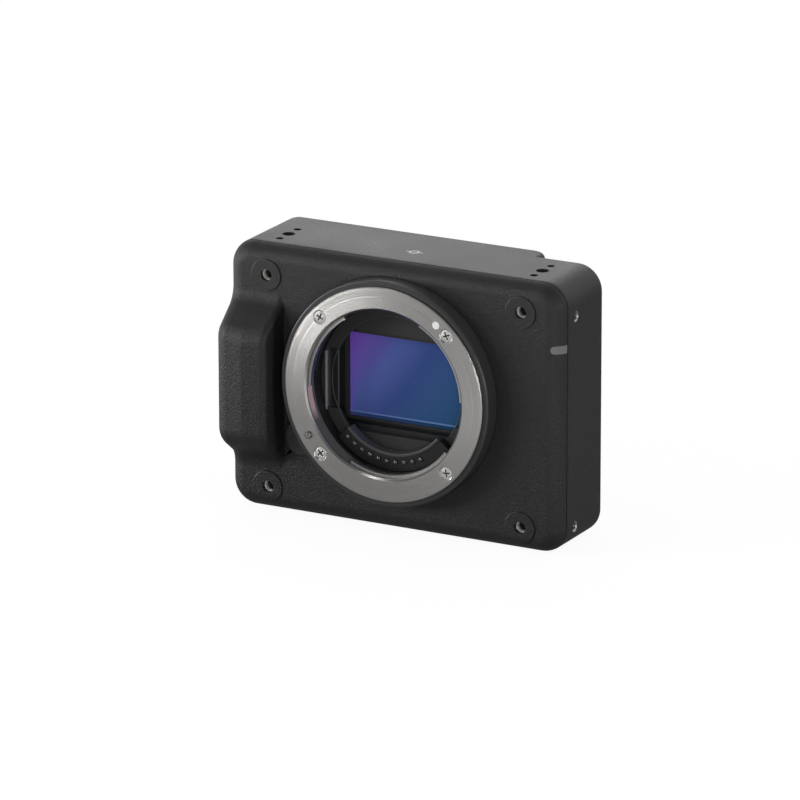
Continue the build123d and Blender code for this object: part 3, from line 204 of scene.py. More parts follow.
def build_turned_face():
    """Fine turning marks round the optical axis.

    Every hair-thin band of the lathe tips the normal across the marks by its own random
    amount: along the radius on the flat face, and along the axis on the walls. Lead tips
    them all a little outwards.
    """
    tree, entry, leave = new_group(
        "turned_face",
        [("Bands", 110000.0), ("Tilt", 0.3), ("Lead", 0.05), ("Axis Height", AXIS_Z)],
        [("Normal", "Vector"), ("Band", "Float"), ("Radius", "Float"), ("Depth", "Float")],
    )
    point = object_point(tree)
    axis = tree.nodes.new("ShaderNodeCombineXYZ")
    link(tree, entry.outputs["Axis Height"], axis.inputs["Z"])
    offset = vector_node(tree, "SUBTRACT", point, axis.outputs["Vector"])
    radius = vector_node(tree, "LENGTH", vector_node(tree, "MULTIPLY", offset, (1.0, 0.0, 1.0)))
    depth = vector_node(tree, "DOT_PRODUCT", offset, (0.0, 1.0, 0.0))
    around = vector_node(tree, "NORMALIZE", vector_node(tree, "CROSS_PRODUCT", offset, (0.0, 1.0, 0.0)))
    surface = tree.nodes.new("ShaderNodeNewGeometry").outputs["Normal"]
    across = vector_node(tree, "NORMALIZE", vector_node(tree, "CROSS_PRODUCT", around, surface))
    band = math_node(tree, "MULTIPLY", math_node(tree, "ADD", radius, depth), entry.outputs["Bands"])
    white = tree.nodes.new("ShaderNodeTexWhiteNoise")
    white.noise_dimensions = "1D"
    link(tree, math_node(tree, "FLOOR", band), white.inputs["W"])
    centred = math_node(tree, "SUBTRACT", white.outputs["Value"], 0.5)
    swing = math_node(tree, "MULTIPLY", centred, entry.outputs["Tilt"])
    tilt = math_node(tree, "ADD", math_node(tree, "MULTIPLY", swing, 2.0), entry.outputs["Lead"])
    tipped = vector_node(tree, "ADD", surface, vector_node(tree, "SCALE", across, scale=tilt))
    link(tree, vector_node(tree, "NORMALIZE", tipped), leave.inputs["Normal"])
    link(tree, white.outputs["Value"], leave.inputs["Band"])
    link(tree, radius, leave.inputs["Radius"])
    link(tree, depth, leave.inputs["Depth"])
    return tree


PAINT_GRAIN = build_paint_grain()
TURNED_FACE = build_turned_face()


def use_group(tree, group, **values):
    node = tree.nodes.new("ShaderNodeGroup")
    node.node_tree = group
    for name, value in values.items():
        node.inputs[name.replace("_", " ")].default_value = value
    return node


def principled(name, color, roughness, metallic=0.0, **constants):
    """A new material and its shader with constant values set on the sockets."""
    material = bpy.data.materials.new(name)
    material.use_nodes = True
    shader = material.node_tree.nodes["Principled BSDF"]
    shader.inputs["Base Color"].default_value = (*color, 1.0)
    shader.inputs["Roughness"].default_value = roughness
    shader.inputs["Metallic"].default_value = metallic
    for key, value in constants.items():
        shader.inputs[key.replace("_", " ")].default_value = value
    return material, material.node_tree, shader


def mix_color(tree, factor, first, second):
    node = tree.nodes.new("ShaderNodeMix")
    node.data_type = "RGBA"
    link(tree, factor, node.inputs["Factor"])
    for socket, value in ((node.inputs["A"], first), (node.inputs["B"], second)):
        if isinstance(value, (tuple, list)):
            socket.default_value = (*value, 1.0)
        else:
            link(tree, value, socket)
    return node.outputs["Result"]


def bump(tree, shader, height, distance, strength=1.0):
    node = tree.nodes.new("ShaderNodeBump")
    node.inputs["Strength"].default_value = strength
    node.inputs["Distance"].default_value = distance
    link(tree, height, node.inputs["Height"])
    link(tree, node.outputs["Normal"], shader.inputs["Normal"])
    return node


def painted(name, dark, light, rough_low, rough_high, scale=2600.0, depth=0.00006):
    """Sprayed or moulded black: clouded colour and gloss over a fine grain."""
    material, tree, shader = principled(name, dark, rough_low)
    grain = use_group(tree, PAINT_GRAIN, Scale=scale)
    color = mix_color(tree, grain.outputs["Cloud"], dark, light)
    link(tree, color, shader.inputs["Base Color"])
    roughness = remap(tree, grain.outputs["Cloud"], 0.3, 0.7, rough_low, rough_high)
    link(tree, roughness, shader.inputs["Roughness"])
    bump(tree, shader, grain.outputs["Height"], depth)
    return material


def satin_metal(name, color, roughness, scale=1800.0, depth=0.000008):
    """Plain machined or plated metal with faint grain and a clouded gloss."""
    material, tree, shader = principled(name, color, roughness, metallic=1.0)
    grain = use_group(tree, PAINT_GRAIN, Scale=scale)
    clouded = remap(tree, grain.outputs["Cloud"], 0.3, 0.7, roughness * 0.8, roughness * 1.25)
    link(tree, clouded, shader.inputs["Roughness"])
    bump(tree, shader, grain.outputs["Height"], depth)
    return material


def turned_metal():
    """Mount ring steel turned round the optical axis.

    The throat wall is blackened behind the tabs and between them, and carries a painted
    reflection: a pale pink patch at the left, a little below the axis.
    """
    steel, black, painted_reflection_pink = (0.525, 0.514, 0.498), (0.1, 0.094, 0.094), (0.62, 0.42, 0.45)
    material, tree, shader = principled("turned_mount_steel", steel, 0.33, metallic=1.0)
    face = use_group(tree, TURNED_FACE, Bands=110000.0, Tilt=0.31, Lead=0.07, Axis_Height=AXIS_Z)
    link(tree, face.outputs["Normal"], shader.inputs["Normal"])
    roughness = remap(tree, face.outputs["Band"], 0.0, 1.0, 0.29, 0.36)
    link(tree, roughness, shader.inputs["Roughness"])
    inside = math_node(tree, "LESS_THAN", face.outputs["Radius"], RING_BORE + 0.15 * MM)
    behind_tabs = math_node(tree, "GREATER_THAN", face.outputs["Depth"], FLANGE_Y + 2.9 * MM)
    wall = math_node(tree, "GREATER_THAN", face.outputs["Radius"], RING_BORE - 0.04 * MM)
    below_rim = math_node(tree, "GREATER_THAN", face.outputs["Depth"], FLANGE_Y + 1.0 * MM)
    between_tabs = math_node(tree, "MULTIPLY", wall, below_rim)
    covered = math_node(tree, "MAXIMUM", behind_tabs, between_tabs)
    blackened = math_node(tree, "MULTIPLY", inside, covered)
    # Painted reflection: a pale pink patch on the blackened throat wall at the left, a little below the axis
    split = tree.nodes.new("ShaderNodeSeparateXYZ")
    link(tree, object_point(tree), split.inputs["Vector"])
    below = math_node(tree, "SUBTRACT", AXIS_Z, split.outputs["Z"])
    starts = remap(tree, below, 0.5 * MM, 1.5 * MM, 0.0, 1.0)
    ends = remap(tree, below, 7.0 * MM, 10.5 * MM, 1.0, 0.0)
    left = math_node(tree, "LESS_THAN", split.outputs["X"], -20.0 * MM)
    shallow = math_node(tree, "LESS_THAN", face.outputs["Depth"], FLANGE_Y + 3.4 * MM)
    upright = math_node(tree, "MULTIPLY", starts, ends)
    painted_reflection = math_node(tree, "MULTIPLY", upright, math_node(tree, "MULTIPLY", left, shallow))
    painted_reflection = math_node(tree, "MULTIPLY", painted_reflection, blackened)
    toned = mix_color(tree, blackened, steel, black)
    link(tree, mix_color(tree, painted_reflection, toned, painted_reflection_pink), shader.inputs["Base Color"])
    link(tree, math_node(tree, "SUBTRACT", 1.0, blackened), shader.inputs["Metallic"])
    return material


def recessed_steel(name, bright, dark, roughness, metallic):
    """Plated steel with painted shade: its own mesh attribute darkens it in recesses and down bores."""
    material, tree, shader = principled(name, bright, roughness, metallic)
    mask = tree.nodes.new("ShaderNodeAttribute")
    mask.attribute_name = "recess"
    link(tree, mix_color(tree, mask.outputs["Fac"], bright, dark), shader.inputs["Base Color"])
    grain = use_group(tree, PAINT_GRAIN, Scale=2400.0)
    bump(tree, shader, grain.outputs["Height"], 0.00002)
    return material


def filter_coating():
    """Coated filter: violet at the upper left turning blue, then teal at the lower right.

    The colour follows x less three quarters of the height above the axis. The change of hue
    is the coating's own; the brightness, highest at the upper left, is partly painted light
    that makes up for the shade the throat casts there.
    """
    material, tree, shader = principled(
        "coated_filter", (0.2, 0.15, 0.6), 0.2, Specular_IOR_Level=0.08
    )
    point = object_point(tree)
    split = tree.nodes.new("ShaderNodeSeparateXYZ")
    link(tree, point, split.inputs["Vector"])
    rise = math_node(tree, "SUBTRACT", split.outputs["Z"], AXIS_Z)
    slant = math_node(tree, "SUBTRACT", split.outputs["X"], math_node(tree, "MULTIPLY", rise, 0.75))
    along = remap(tree, slant, -FILTER_REACH, FILTER_REACH, 0.0, 1.0)
    # Ramp stops: the coating's hue, and partly painted light, brightest at the upper left where the throat
    # shades the filter
    ramp = tree.nodes.new("ShaderNodeValToRGB")
    stops = ramp.color_ramp
    stops.elements[0].position, stops.elements[0].color = 0.0, (0.4, 0.14, 1.0, 1.0)
    stops.elements[1].position, stops.elements[1].color = 1.0, (0.018, 0.1, 0.2, 1.0)
    middle_stops = (
        (0.32, (0.14, 0.2, 0.64)),
        (0.5, (0.06, 0.11, 0.36)),
        (0.68, (0.05, 0.12, 0.31)),
    )
    for place, color in middle_stops:
        stop = stops.elements.new(place)
        stop.color = (*color, 1.0)
    link(tree, along, ramp.inputs["Fac"])
    # A paler strip along the left edge, and a painted highlight: a bright line above the dark lower edge
    left_edge = -FILTER_HALF_WIDTH
    left = remap(tree, split.outputs["X"], left_edge + 2.5 * MM, left_edge + 2.2 * MM, 0.0, 0.3)
    tinted = mix_color(tree, left, ramp.outputs["Color"], (0.32, 0.13, 1.0))
    low = math_node(tree, "ADD", rise, FILTER_HALF_HEIGHT - 2.3 * MM)
    below = remap(tree, low, -0.2 * MM, 0.0, 0.55, 0.0)
    tinted = mix_color(tree, below, tinted, (0.008, 0.03, 0.08))
    # Painted highlight along the lower edge of the filter
    line = remap(tree, math_node(tree, "ABSOLUTE", low), 0.12 * MM, 0.3 * MM, 0.8, 0.0)
    tinted = mix_color(tree, line, tinted, (0.2, 0.34, 0.75))
    link(tree, tinted, shader.inputs["Base Color"])
    return material


def marked_paint(base):
    """Copy of the body paint that also carries the pale sensor-plane mark: a ring and a bar."""
    bar_reach, bar_half_line = 2.5 * MM, 0.2 * MM
    ring_radius, ring_half_line = 1.25 * MM, 0.24 * MM
    material = base.copy()
    material.name = "body_paint_marked"
    tree = material.node_tree
    shader = tree.nodes["Principled BSDF"]
    ground = shader.inputs["Base Color"].links[0].from_socket
    split = tree.nodes.new("ShaderNodeSeparateXYZ")
    link(tree, object_point(tree), split.inputs["Vector"])
    across = math_node(tree, "ABSOLUTE", split.outputs["X"])
    deep = math_node(tree, "SUBTRACT", split.outputs["Y"], FLANGE_Y + SENSOR_DEPTH * MM)
    away = math_node(tree, "ABSOLUTE", deep)
    bar = math_node(
        tree,
        "MULTIPLY",
        math_node(tree, "LESS_THAN", across, bar_reach),
        math_node(tree, "LESS_THAN", away, bar_half_line),
    )
    across_squared = math_node(tree, "MULTIPLY", across, across)
    deep_squared = math_node(tree, "MULTIPLY", deep, deep)
    reach = math_node(tree, "SQRT", math_node(tree, "ADD", across_squared, deep_squared))
    off_ring = math_node(tree, "ABSOLUTE", math_node(tree, "SUBTRACT", reach, ring_radius))
    ring = math_node(tree, "LESS_THAN", off_ring, ring_half_line)
    top = math_node(tree, "GREATER_THAN", split.outputs["Z"], TOP_Z - 0.05 * MM)
    mark = math_node(tree, "MULTIPLY", math_node(tree, "MAXIMUM", bar, ring), top)
    link(tree, mix_color(tree, mark, ground, (0.6, 0.6, 0.6)), shader.inputs["Base Color"])
    return material


def rimmed_plastic():
    """Contact block plastic with a painted highlight: paler along the raised inner rim."""
    material, tree, shader = principled("contact_block_plastic", (0.014, 0.014, 0.0145), 0.4)
    grain = use_group(tree, PAINT_GRAIN, Scale=3400.0)
    offset = vector_node(tree, "SUBTRACT", object_point(tree), (0.0, 0.0, AXIS_Z))
    radius = vector_node(tree, "LENGTH", vector_node(tree, "MULTIPLY", offset, (1.0, 0.0, 1.0)))
    # Painted highlight: paler colour where the rounded inner rim catches the light
    rim = remap(tree, radius, 18.35 * MM, 18.6 * MM, 1.0, 0.0)
    painted_rim_highlight = mix_color(tree, rim, (0.008, 0.008, 0.0085), (0.06, 0.06, 0.062))
    link(tree, painted_rim_highlight, shader.inputs["Base Color"])
    bump(tree, shader, grain.outputs["Height"], 0.00003)
    return material


# Finishes -------------------------------------------------------------------

BODY_PAINT = painted(
    "body_paint", (0.0098, 0.0095, 0.0106), (0.0125, 0.012, 0.0134), 0.44, 0.52, scale=2100.0, depth=0.00022
)
BODY_MARKED = marked_paint(BODY_PAINT)
COLLAR_PAINT = painted(
    "collar_paint", (0.034, 0.034, 0.035), (0.042, 0.042, 0.043), 0.3, 0.36, scale=4200.0, depth=0.00002
)
CHAMBER_BLACK = painted(
    "chamber_black", (0.025, 0.025, 0.0255), (0.031, 0.031, 0.0315), 0.6, 0.75, scale=5200.0, depth=0.00002
)
BLACK_PLASTIC = painted(
    "black_plastic", (0.014, 0.014, 0.0145), (0.019, 0.019, 0.02), 0.3, 0.4, scale=3400.0, depth=0.00002
)
DARK_CHIP = painted(
    "chip_resin", (0.012, 0.012, 0.012), (0.02, 0.02, 0.02), 0.5, 0.6, scale=5000.0, depth=0.00001
)
RUBBER = painted(
    "soft_pad", (0.05, 0.055, 0.06), (0.07, 0.075, 0.08), 0.7, 0.8, scale=3000.0, depth=0.00003
)
CERAMIC = painted(
    "package_ceramic", (0.1, 0.09, 0.08), (0.13, 0.12, 0.11), 0.6, 0.7, scale=3000.0, depth=0.00001
)
CONNECTOR = painted(
    "connector_plastic", (0.012, 0.012, 0.012), (0.018, 0.018, 0.018), 0.35, 0.45, scale=3000.0, depth=0.00001
)
BOARD = painted(
    "board_mask", (0.008, 0.05, 0.03), (0.012, 0.07, 0.04), 0.25, 0.35, scale=2500.0, depth=0.00001
)
SHUTTER_BLACK = painted(
    "shutter_black", (0.012, 0.012, 0.012), (0.016, 0.016, 0.0165), 0.42, 0.52, scale=5200.0, depth=0.00001
)
MOUNT_STEEL = turned_metal()
SCREW_STEEL = satin_metal("screw_steel", (0.72, 0.71, 0.7), 0.22)
INSERT_STEEL = satin_metal("insert_steel", (0.72, 0.7, 0.66), 0.36)
SPRING_STEEL = satin_metal("spring_steel", (0.3, 0.3, 0.3), 0.3)
ALUMINIUM = satin_metal("bare_aluminium", (0.75, 0.75, 0.76), 0.35)
CONTACT_METAL = satin_metal("contact_metal", (0.24, 0.235, 0.23), 0.25)
FILTER = filter_coating()
CLEAR_GLASS = principled("clear_glass", (0.8, 0.86, 0.9), 0.03, Alpha=0.25)[0]
SENSOR = satin_metal("sensor_silicon", (0.2, 0.16, 0.3), 0.2)
INDEX_WHITE = principled("index_white", (1.0, 1.0, 0.99), 0.5)[0]
LIGHT_GUIDE = painted(
    "light_guide", (0.16, 0.16, 0.168), (0.21, 0.21, 0.22), 0.35, 0.45, scale=900.0, depth=0.00001
)
# Screw and bush steels: their dark colours are painted shade in recesses and down bores
HEAD_STEEL = recessed_steel("screw_head_steel", (0.78, 0.77, 0.75), (0.07, 0.07, 0.07), 0.25, 0.55)
THREAD_STEEL = recessed_steel("thread_steel", (0.95, 0.93, 0.88), (0.03, 0.03, 0.03), 0.35, 0.4)
SIDE_STEEL = recessed_steel("side_thread_steel", (0.4, 0.39, 0.38), (0.03, 0.03, 0.03), 0.3, 0.8)
# Paler than the body paint: a painted highlight on the upper left pad edges
PAD_EDGE_HIGHLIGHT_PAINT = painted(
    "pad_edge_highlight_paint", (0.03, 0.03, 0.031), (0.04, 0.04, 0.041), 0.35, 0.42, scale=3000.0, depth=0.00002
)
LIP_GREY = painted(
    "lip_grey", (0.045, 0.045, 0.045), (0.06, 0.06, 0.06), 0.4, 0.5, scale=3000.0, depth=0.00001
)
# Pale greys for strips that stand for painted highlights on the chamber and shutter edges
SHUTTER_EDGE_HIGHLIGHT = painted(
    "shutter_edge_highlight_grey", (0.1, 0.1, 0.1), (0.13, 0.13, 0.13), 0.4, 0.5, scale=3000.0, depth=0.00001
)
CHAMBER_EDGE_HIGHLIGHT = painted(
    "chamber_edge_highlight_grey", (0.24, 0.24, 0.24), (0.3, 0.3, 0.3), 0.4, 0.5, scale=3000.0, depth=0.00001
)

FINISHES = {
    "body_paint": BODY_PAINT,
    "mount_steel": MOUNT_STEEL,
    "screw_steel": SCREW_STEEL,
    "insert_steel": INSERT_STEEL,
    "collar_paint": COLLAR_PAINT,
    "chamber_black": CHAMBER_BLACK,
    "black_plastic": BLACK_PLASTIC,
    "index_mark": INDEX_WHITE,
    "light_guide": LIGHT_GUIDE,
    "contact_gold": CONTACT_METAL,
    "spring_steel": SPRING_STEEL,
    "shutter_steel": SHUTTER_BLACK,
    "filter_glass": FILTER,
    "clear_glass": CLEAR_GLASS,
    "sensor_silicon": SENSOR,
    "ceramic": CERAMIC,
    "circuit_board": BOARD,
    "chip_black": DARK_CHIP,
    "pad_grey": RUBBER,
    "bare_aluminium": ALUMINIUM,
    "gasket_rubber": RUBBER,
    "connector_plastic": CONNECTOR,
}
for subpart in frame["record"]["subparts"]:
    node = nodes[subpart["node"]]
    for material_slot in node.material_slots:
        material_slot.material = FINISHES[subpart["material_slot"]]
for name, material in (
    ("main_frame", BODY_MARKED),
    ("contact_block", rimmed_plastic()),
    ("lock_pin", satin_metal("lock_pin_steel", (0.42, 0.42, 0.42), 0.26)),
    ("lens_release_button", BODY_PAINT),
):
    for material_slot in nodes[name].material_slots:
        material_slot.material = material

# Fine pieces ----------------------------------------------------------------


def ring_faces(rows, columns):
    """Quads between the rows of a closed grid of points, row after row."""
    row = np.arange(rows - 1)[:, None] * columns
    here = np.arange(columns)[None, :]
    after = (here + 1) % columns
    quads = np.stack([row + here, row + after, row + columns + after, row + columns + here], axis=-1)
    return quads.reshape(-1, 4)


def mesh_piece(name, points, quads, material, attribute=None):
    """Object at the origin from arrays of points and quads, with an optional float value per point."""
    mesh = bpy.data.meshes.new(name)
    mesh.vertices.add(len(points))
    mesh.vertices.foreach_set("co", points.astype(np.float32).ravel())
    mesh.loops.add(quads.size)
    mesh.loops.foreach_set("vertex_index", quads.astype(np.int32).ravel())
    mesh.polygons.add(len(quads))
    mesh.polygons.foreach_set("loop_start", np.arange(0, quads.size, 4, dtype=np.int32))
    mesh.polygons.foreach_set("use_smooth", np.ones(len(quads), dtype=bool))
    mesh.update(calc_edges=True)
    if attribute is not None:
        layer = mesh.attributes.new(attribute[0], "FLOAT", "POINT")
        layer.data.foreach_set("value", attribute[1].astype(np.float32).ravel())
    joined = bmesh.new()
    joined.from_mesh(mesh)
    bmesh.ops.remove_doubles(joined, verts=joined.verts, dist=1e-7)
    joined.to_mesh(mesh)
    joined.free()
    mesh.materials.append(material)
    piece = bpy.data.objects.new(name, mesh)
    bpy.context.scene.collection.objects.link(piece)
    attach(piece, "camera_body")
    return piece


def rows_of(*values):
    """Numbers standing under each other, one for every row of a grid."""
    return np.array(values)[:, None]


def lathe_points(radii, heights, columns):
    """Grid of points of a turned form: radius and height along its own axis for every row."""
    angle = np.linspace(0.0, 2.0 * np.pi, columns, endpoint=False)
    x = radii * np.cos(angle)
    y = radii * np.sin(angle)
    return np.stack([x, y, np.broadcast_to(heights, x.shape)], axis=-1)


def placed(points, origin, across, up, out):
    """Local points carried to an origin in metres with the given unit axes."""
    flat = points.reshape(-1, 3)
    return origin + (flat[:, :1] * across + flat[:, 1:2] * up + flat[:, 2:] * out)


RIGHT = np.array([1.0, 0.0, 0.0])
BACK = np.array([0.0, 1.0, 0.0])
UP = np.array([0.0, 0.0, 1.0])


def cross_screw(turn, reach, top, fall, side_radii, side_heights):
    """Screw with a crowned head and a cross recess, in metres, its axis out of the head.

    The crown starts at the top height and falls with the square of the radius out to the
    reach. The recess is where the point, turned by the given angle, lies inside either arm;
    its floor rises from the middle of the head to the ends of the arms. The side rows close
    the form down to the tip.
    """
    columns = 96
    arm_half_width, arm_slope = 0.25, 0.05
    arm_length, end_slope = 1.1, 0.06
    face_radii = rows_of(*np.linspace(0.0, 0.78 * reach, 34), *np.linspace(0.81 * reach, reach, 7))
    crown = top - fall * (face_radii / reach) ** 2
    face = lathe_points(face_radii, crown, columns)
    along = np.abs(face[..., 0] * math.cos(turn) + face[..., 1] * math.sin(turn))
    aside = np.abs(face[..., 1] * math.cos(turn) - face[..., 0] * math.sin(turn))
    wide, long = np.maximum(along, aside), np.minimum(along, aside)
    inside = np.clip((arm_half_width - long) / arm_slope, 0.0, 1.0)
    inside = inside * np.clip((arm_length - wide) / end_slope, 0.0, 1.0)
    face[..., 2] -= inside * (0.6 - 0.4 * wide)
    side = lathe_points(rows_of(*side_radii), rows_of(*side_heights), columns)
    points = np.concatenate([face, side]) * MM
    # The recess mask carries painted shade into the cross recess
    mask = np.concatenate([inside, np.zeros(side.shape[:2])])
    return points, mask, ring_faces(points.shape[0], columns)[:, ::-1]


def threaded_bush(outer, bore, crest, length, turns, pitch):
    """Bush out of its mouth, in metres: a chamfer, then a helical thread, then a plain bore.

    The bore radius runs between root and crest as a triangle wave of the depth over the
    pitch less the share of a turn, and the chamfer takes over near the mouth.
    """
    columns = 56
    mouth_depth, mouth_lip = 0.3, 0.16
    angle = np.linspace(0.0, 1.0, columns, endpoint=False)[None, :]
    depth = np.linspace(0.0, turns * pitch, turns * 10 + 1)[:, None]
    phase = np.mod(depth / pitch - angle, 1.0)
    wave = 1.0 - np.abs(2.0 * phase - 1.0)
    mouth = np.clip(1.0 - depth / mouth_depth, 0.0, 1.0)
    radius = bore + (crest - bore) * wave
    radius = np.maximum(radius, bore + (outer - mouth_lip - bore) * mouth)
    inner = np.stack(
        [
            radius * np.cos(2.0 * np.pi * angle),
            radius * np.sin(2.0 * np.pi * angle),
            np.broadcast_to(-depth, radius.shape),
        ],
        axis=-1,
    )
    plain = lathe_points(rows_of(bore, bore), -rows_of(turns * pitch + 0.05, length), columns)
    wall = lathe_points(rows_of(outer, outer), -rows_of(length, 0.0), columns)
    points = np.concatenate([inner, plain, wall, inner[:1]]) * MM
    # Painted shade: the bore darkens with depth over its first 1.6 millimetres
    painted_bore_shade = np.clip(depth / 1.6, 0.0, 1.0) * np.ones_like(radius)
    rest = np.ones((2, columns)), np.zeros((3, columns))
    return points, np.concatenate([painted_bore_shade, *rest]), ring_faces(points.shape[0], columns)


def gathered(name, parts, material, masks=None):
    """One object from several grids of points and their quads."""
    points = np.concatenate([part[0] for part in parts])
    starts = np.cumsum([0] + [len(part[0]) for part in parts[:-1]])
    quads = np.concatenate([part[1] + start for part, start in zip(parts, starts)])
    attribute = None if masks is None else ("recess", np.concatenate([mask.ravel() for mask in masks]))
    return mesh_piece(name, points, quads, material, attribute)


ring_screw_sides = (1.66, 1.64, 1.0, 1.0, 0.0), (-0.31, -0.35, -0.99, -5.45, -5.45)
screw_parts, screw_masks = [], []
for angle_degrees, turn_degrees in ((45, 22), (135, 64), (225, 40), (315, 8)):
    angle = math.radians(angle_degrees)
    across, rise = RING_SCREW_CIRCLE * math.cos(angle), RING_SCREW_CIRCLE * math.sin(angle)
    centre = at(across, 0.0, AXIS_HEIGHT + rise)
    grid, mask, quads = cross_screw(math.radians(turn_degrees), 1.6, -0.08, 0.2, *ring_screw_sides)
    screw_parts.append((placed(grid, centre, RIGHT, UP, -BACK), quads))
    screw_masks.append(mask)
ring_screws = gathered("crowned_ring_screws", screw_parts, HEAD_STEEL, screw_masks)
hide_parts("mount_screws")

cover_screw_sides = (1.74, 1.79, 1.79, 1.0, 1.0, 0.0), (0.5, 0.4, 0.0, 0.0, -6.95, -6.95)
cover_screw_places = ((-44.4, 5.6, 12), (44.4, 5.6, 35), (-44.4, 68.4, 51), (44.4, 68.4, 74))
cover_parts, cover_masks = [], []
for x, height, turn_degrees in cover_screw_places:
    grid, mask, quads = cross_screw(math.radians(turn_degrees), 1.62, 0.7, 0.16, *cover_screw_sides)
    centre = at(x, COVER_SCREW_DEPTH, height)
    cover_parts.append((placed(grid, centre, -RIGHT, UP, BACK), quads))
    cover_masks.append(mask)
cover_screws = gathered("crowned_cover_screws", cover_parts, HEAD_STEEL, cover_masks)
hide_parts("rear_cover_screws")

insert_parts = []
bush, bush_mask, bush_quads = threaded_bush(1.65, 1.25, 1.5, 5.0, 7, 0.5)
for x in FIXING_X:
    for height in FRONT_FIXING_HEIGHTS:
        mouth = at(x, FRONT_INSERT_DEPTH, height)
        insert_parts.append((placed(bush, mouth, RIGHT, UP, -BACK), bush_quads))
    mouth = at(x, SENSOR_DEPTH, TOP_INSERT_HEIGHT)
    insert_parts.append((placed(bush, mouth, RIGHT, BACK, UP), bush_quads))
    mouth = at(x, SENSOR_DEPTH, BOTTOM_INSERT_HEIGHT)
    insert_parts.append((placed(bush, mouth, RIGHT, -BACK, -UP), bush_quads))
front_bushes = gathered("threaded_m3_bushes", insert_parts, THREAD_STEEL, [bush_mask] * 8)
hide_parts("m3_inserts")

side_parts = []
small_bush, small_mask, small_quads = threaded_bush(1.6, 1.0, 1.22, 4.0, 6, 0.4)
for height in SIDE_INSERT_HEIGHTS:
    mouth = at(SIDE_INSERT_X, SIDE_INSERT_DEPTH, height)
    side_parts.append((placed(small_bush, mouth, BACK, UP, RIGHT), small_quads))
    mouth = at(-SIDE_INSERT_X, SIDE_INSERT_DEPTH, height)
    side_parts.append((placed(small_bush, mouth, -BACK, UP, -RIGHT), small_quads))
side_bushes = gathered("threaded_side_bushes", side_parts, SIDE_STEEL, [small_mask] * 4)
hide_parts("side_inserts")


def rib(name, x_low, x_high, depth_low, depth_high, z_low, z_high, material):
    """Slender upright rib with softened edges, in millimetres."""
    corners = np.array([[0, 0], [1, 0], [1, 1], [0, 1]])
    low, high = at(x_low, depth_low, z_low), at(x_high, depth_high, z_high)
    ends = []
    for z in (low[2], high[2]):
        flat = low[:2] + corners * (high - low)[:2]
        ends.append(np.column_stack([flat, np.full(4, z)]))
    points = np.concatenate(ends)
    sides = ring_faces(2, 4)
    piece = mesh_piece(name, points, np.concatenate([sides, [[3, 2, 1, 0], [4, 5, 6, 7]]]), material)
    soften = piece.modifiers.new("softened", "BEVEL")
    soften.width = 0.08 * MM
    soften.segments = 2
    return piece


def edge_bead(x, height, start, end):
    """Rounded bead that softens the upper left edge of a front pad.

    A round section is carried along an arc, and its size follows the root of the sine of the
    way along the arc, so that it thins out to nothing at both ends.
    """
    pad_radius, pad_front = 4.3, -5.6
    along = np.linspace(0.0, 1.0, 40)[:, None]
    angle = np.radians(start + (end - start) * along)
    size = 0.27 * np.sin(np.pi * along) ** 0.5
    turn = np.radians(np.linspace(0.0, 360.0, 12, endpoint=False))[None, :]
    radius = pad_radius + size * np.cos(turn)
    out = np.broadcast_to(pad_front + size * np.sin(turn), radius.shape)
    bead = np.stack([radius * np.cos(angle), radius * np.sin(angle), out], axis=-1)
    return placed(bead * MM, at(x, 0.0, height), RIGHT, UP, -BACK), ring_faces(40, 12)


# The beads round the upper left pad edges; their paler paint adds a painted highlight there
beads = [edge_bead(x, height, 100.0, 205.0) for x in FIXING_X for height in FRONT_FIXING_HEIGHTS]
gathered("pad_edge_beads", beads, PAD_EDGE_HIGHLIGHT_PAINT)

# Painted highlights: pale strips where the chamber's side edge and the shutter's edge catch the light
rib("chamber_side_strip", -21.5, -21.0, 7.7, 8.6, 30.2, 46.5, CHAMBER_EDGE_HIGHLIGHT)
rib("shutter_edge_strip", -19.3, -19.02, 10.8, 11.02, 27.9, 50.6, SHUTTER_EDGE_HIGHLIGHT)

lip_radii = rows_of(19.3, 19.32, 19.6, 19.62, 19.3)
lip_depths = rows_of(8.1, 7.95, 7.95, 8.1, 8.1)
lip_rows = lathe_points(lip_radii, -lip_depths, 160)
lip_points = placed(lip_rows * MM, at(0.0, 0.0, AXIS_HEIGHT), RIGHT, UP, -BACK)
mesh_piece("chamber_lip_edge", lip_points, ring_faces(5, 160)[:, ::-1], LIP_GREY)


COIL_SIDES = 10


def coil(radius, wire, length, turns):
    """Helical wire in metres.

    Its middle line climbs evenly with the angle, and a round section is carried along it.
    """
    along = np.linspace(0.0, 1.0, turns * 24 + 1)[:, None]
    angle = 2.0 * np.pi * turns * along
    section = np.linspace(0.0, 2.0 * np.pi, COIL_SIDES, endpoint=False)[None, :]
    reach = radius + wire * np.cos(section)
    climb = 1.1 * wire + (length - 2.2 * wire) * along + wire * np.sin(section)
    tube = np.stack([reach * np.cos(angle), reach * np.sin(angle), climb], axis=-1)
    ends = [np.repeat(tube[row].mean(axis=0)[None, None, :], COIL_SIDES, axis=1) for row in (0, -1)]
    return np.concatenate([ends[0], tube, ends[1]])


spring_low, spring_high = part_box("release_spring")
spring_middle = [(low + high) / 2 for low, high in zip(spring_low, spring_high)]
spring_end = np.array([spring_middle[0], spring_high[1], spring_middle[2]])
spring_grid = coil(1.18 * MM, 0.19 * MM, spring_high[1] - spring_low[1], 5)
spring_coil = mesh_piece(
    "release_coil",
    placed(spring_grid, spring_end, RIGHT, UP, -BACK),
    ring_faces(spring_grid.shape[0], COIL_SIDES)[:, ::-1],
    SPRING_STEEL,
)
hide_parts("release_spring")
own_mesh(spring_coil)

# Floor, backdrop and light --------------------------------------------------


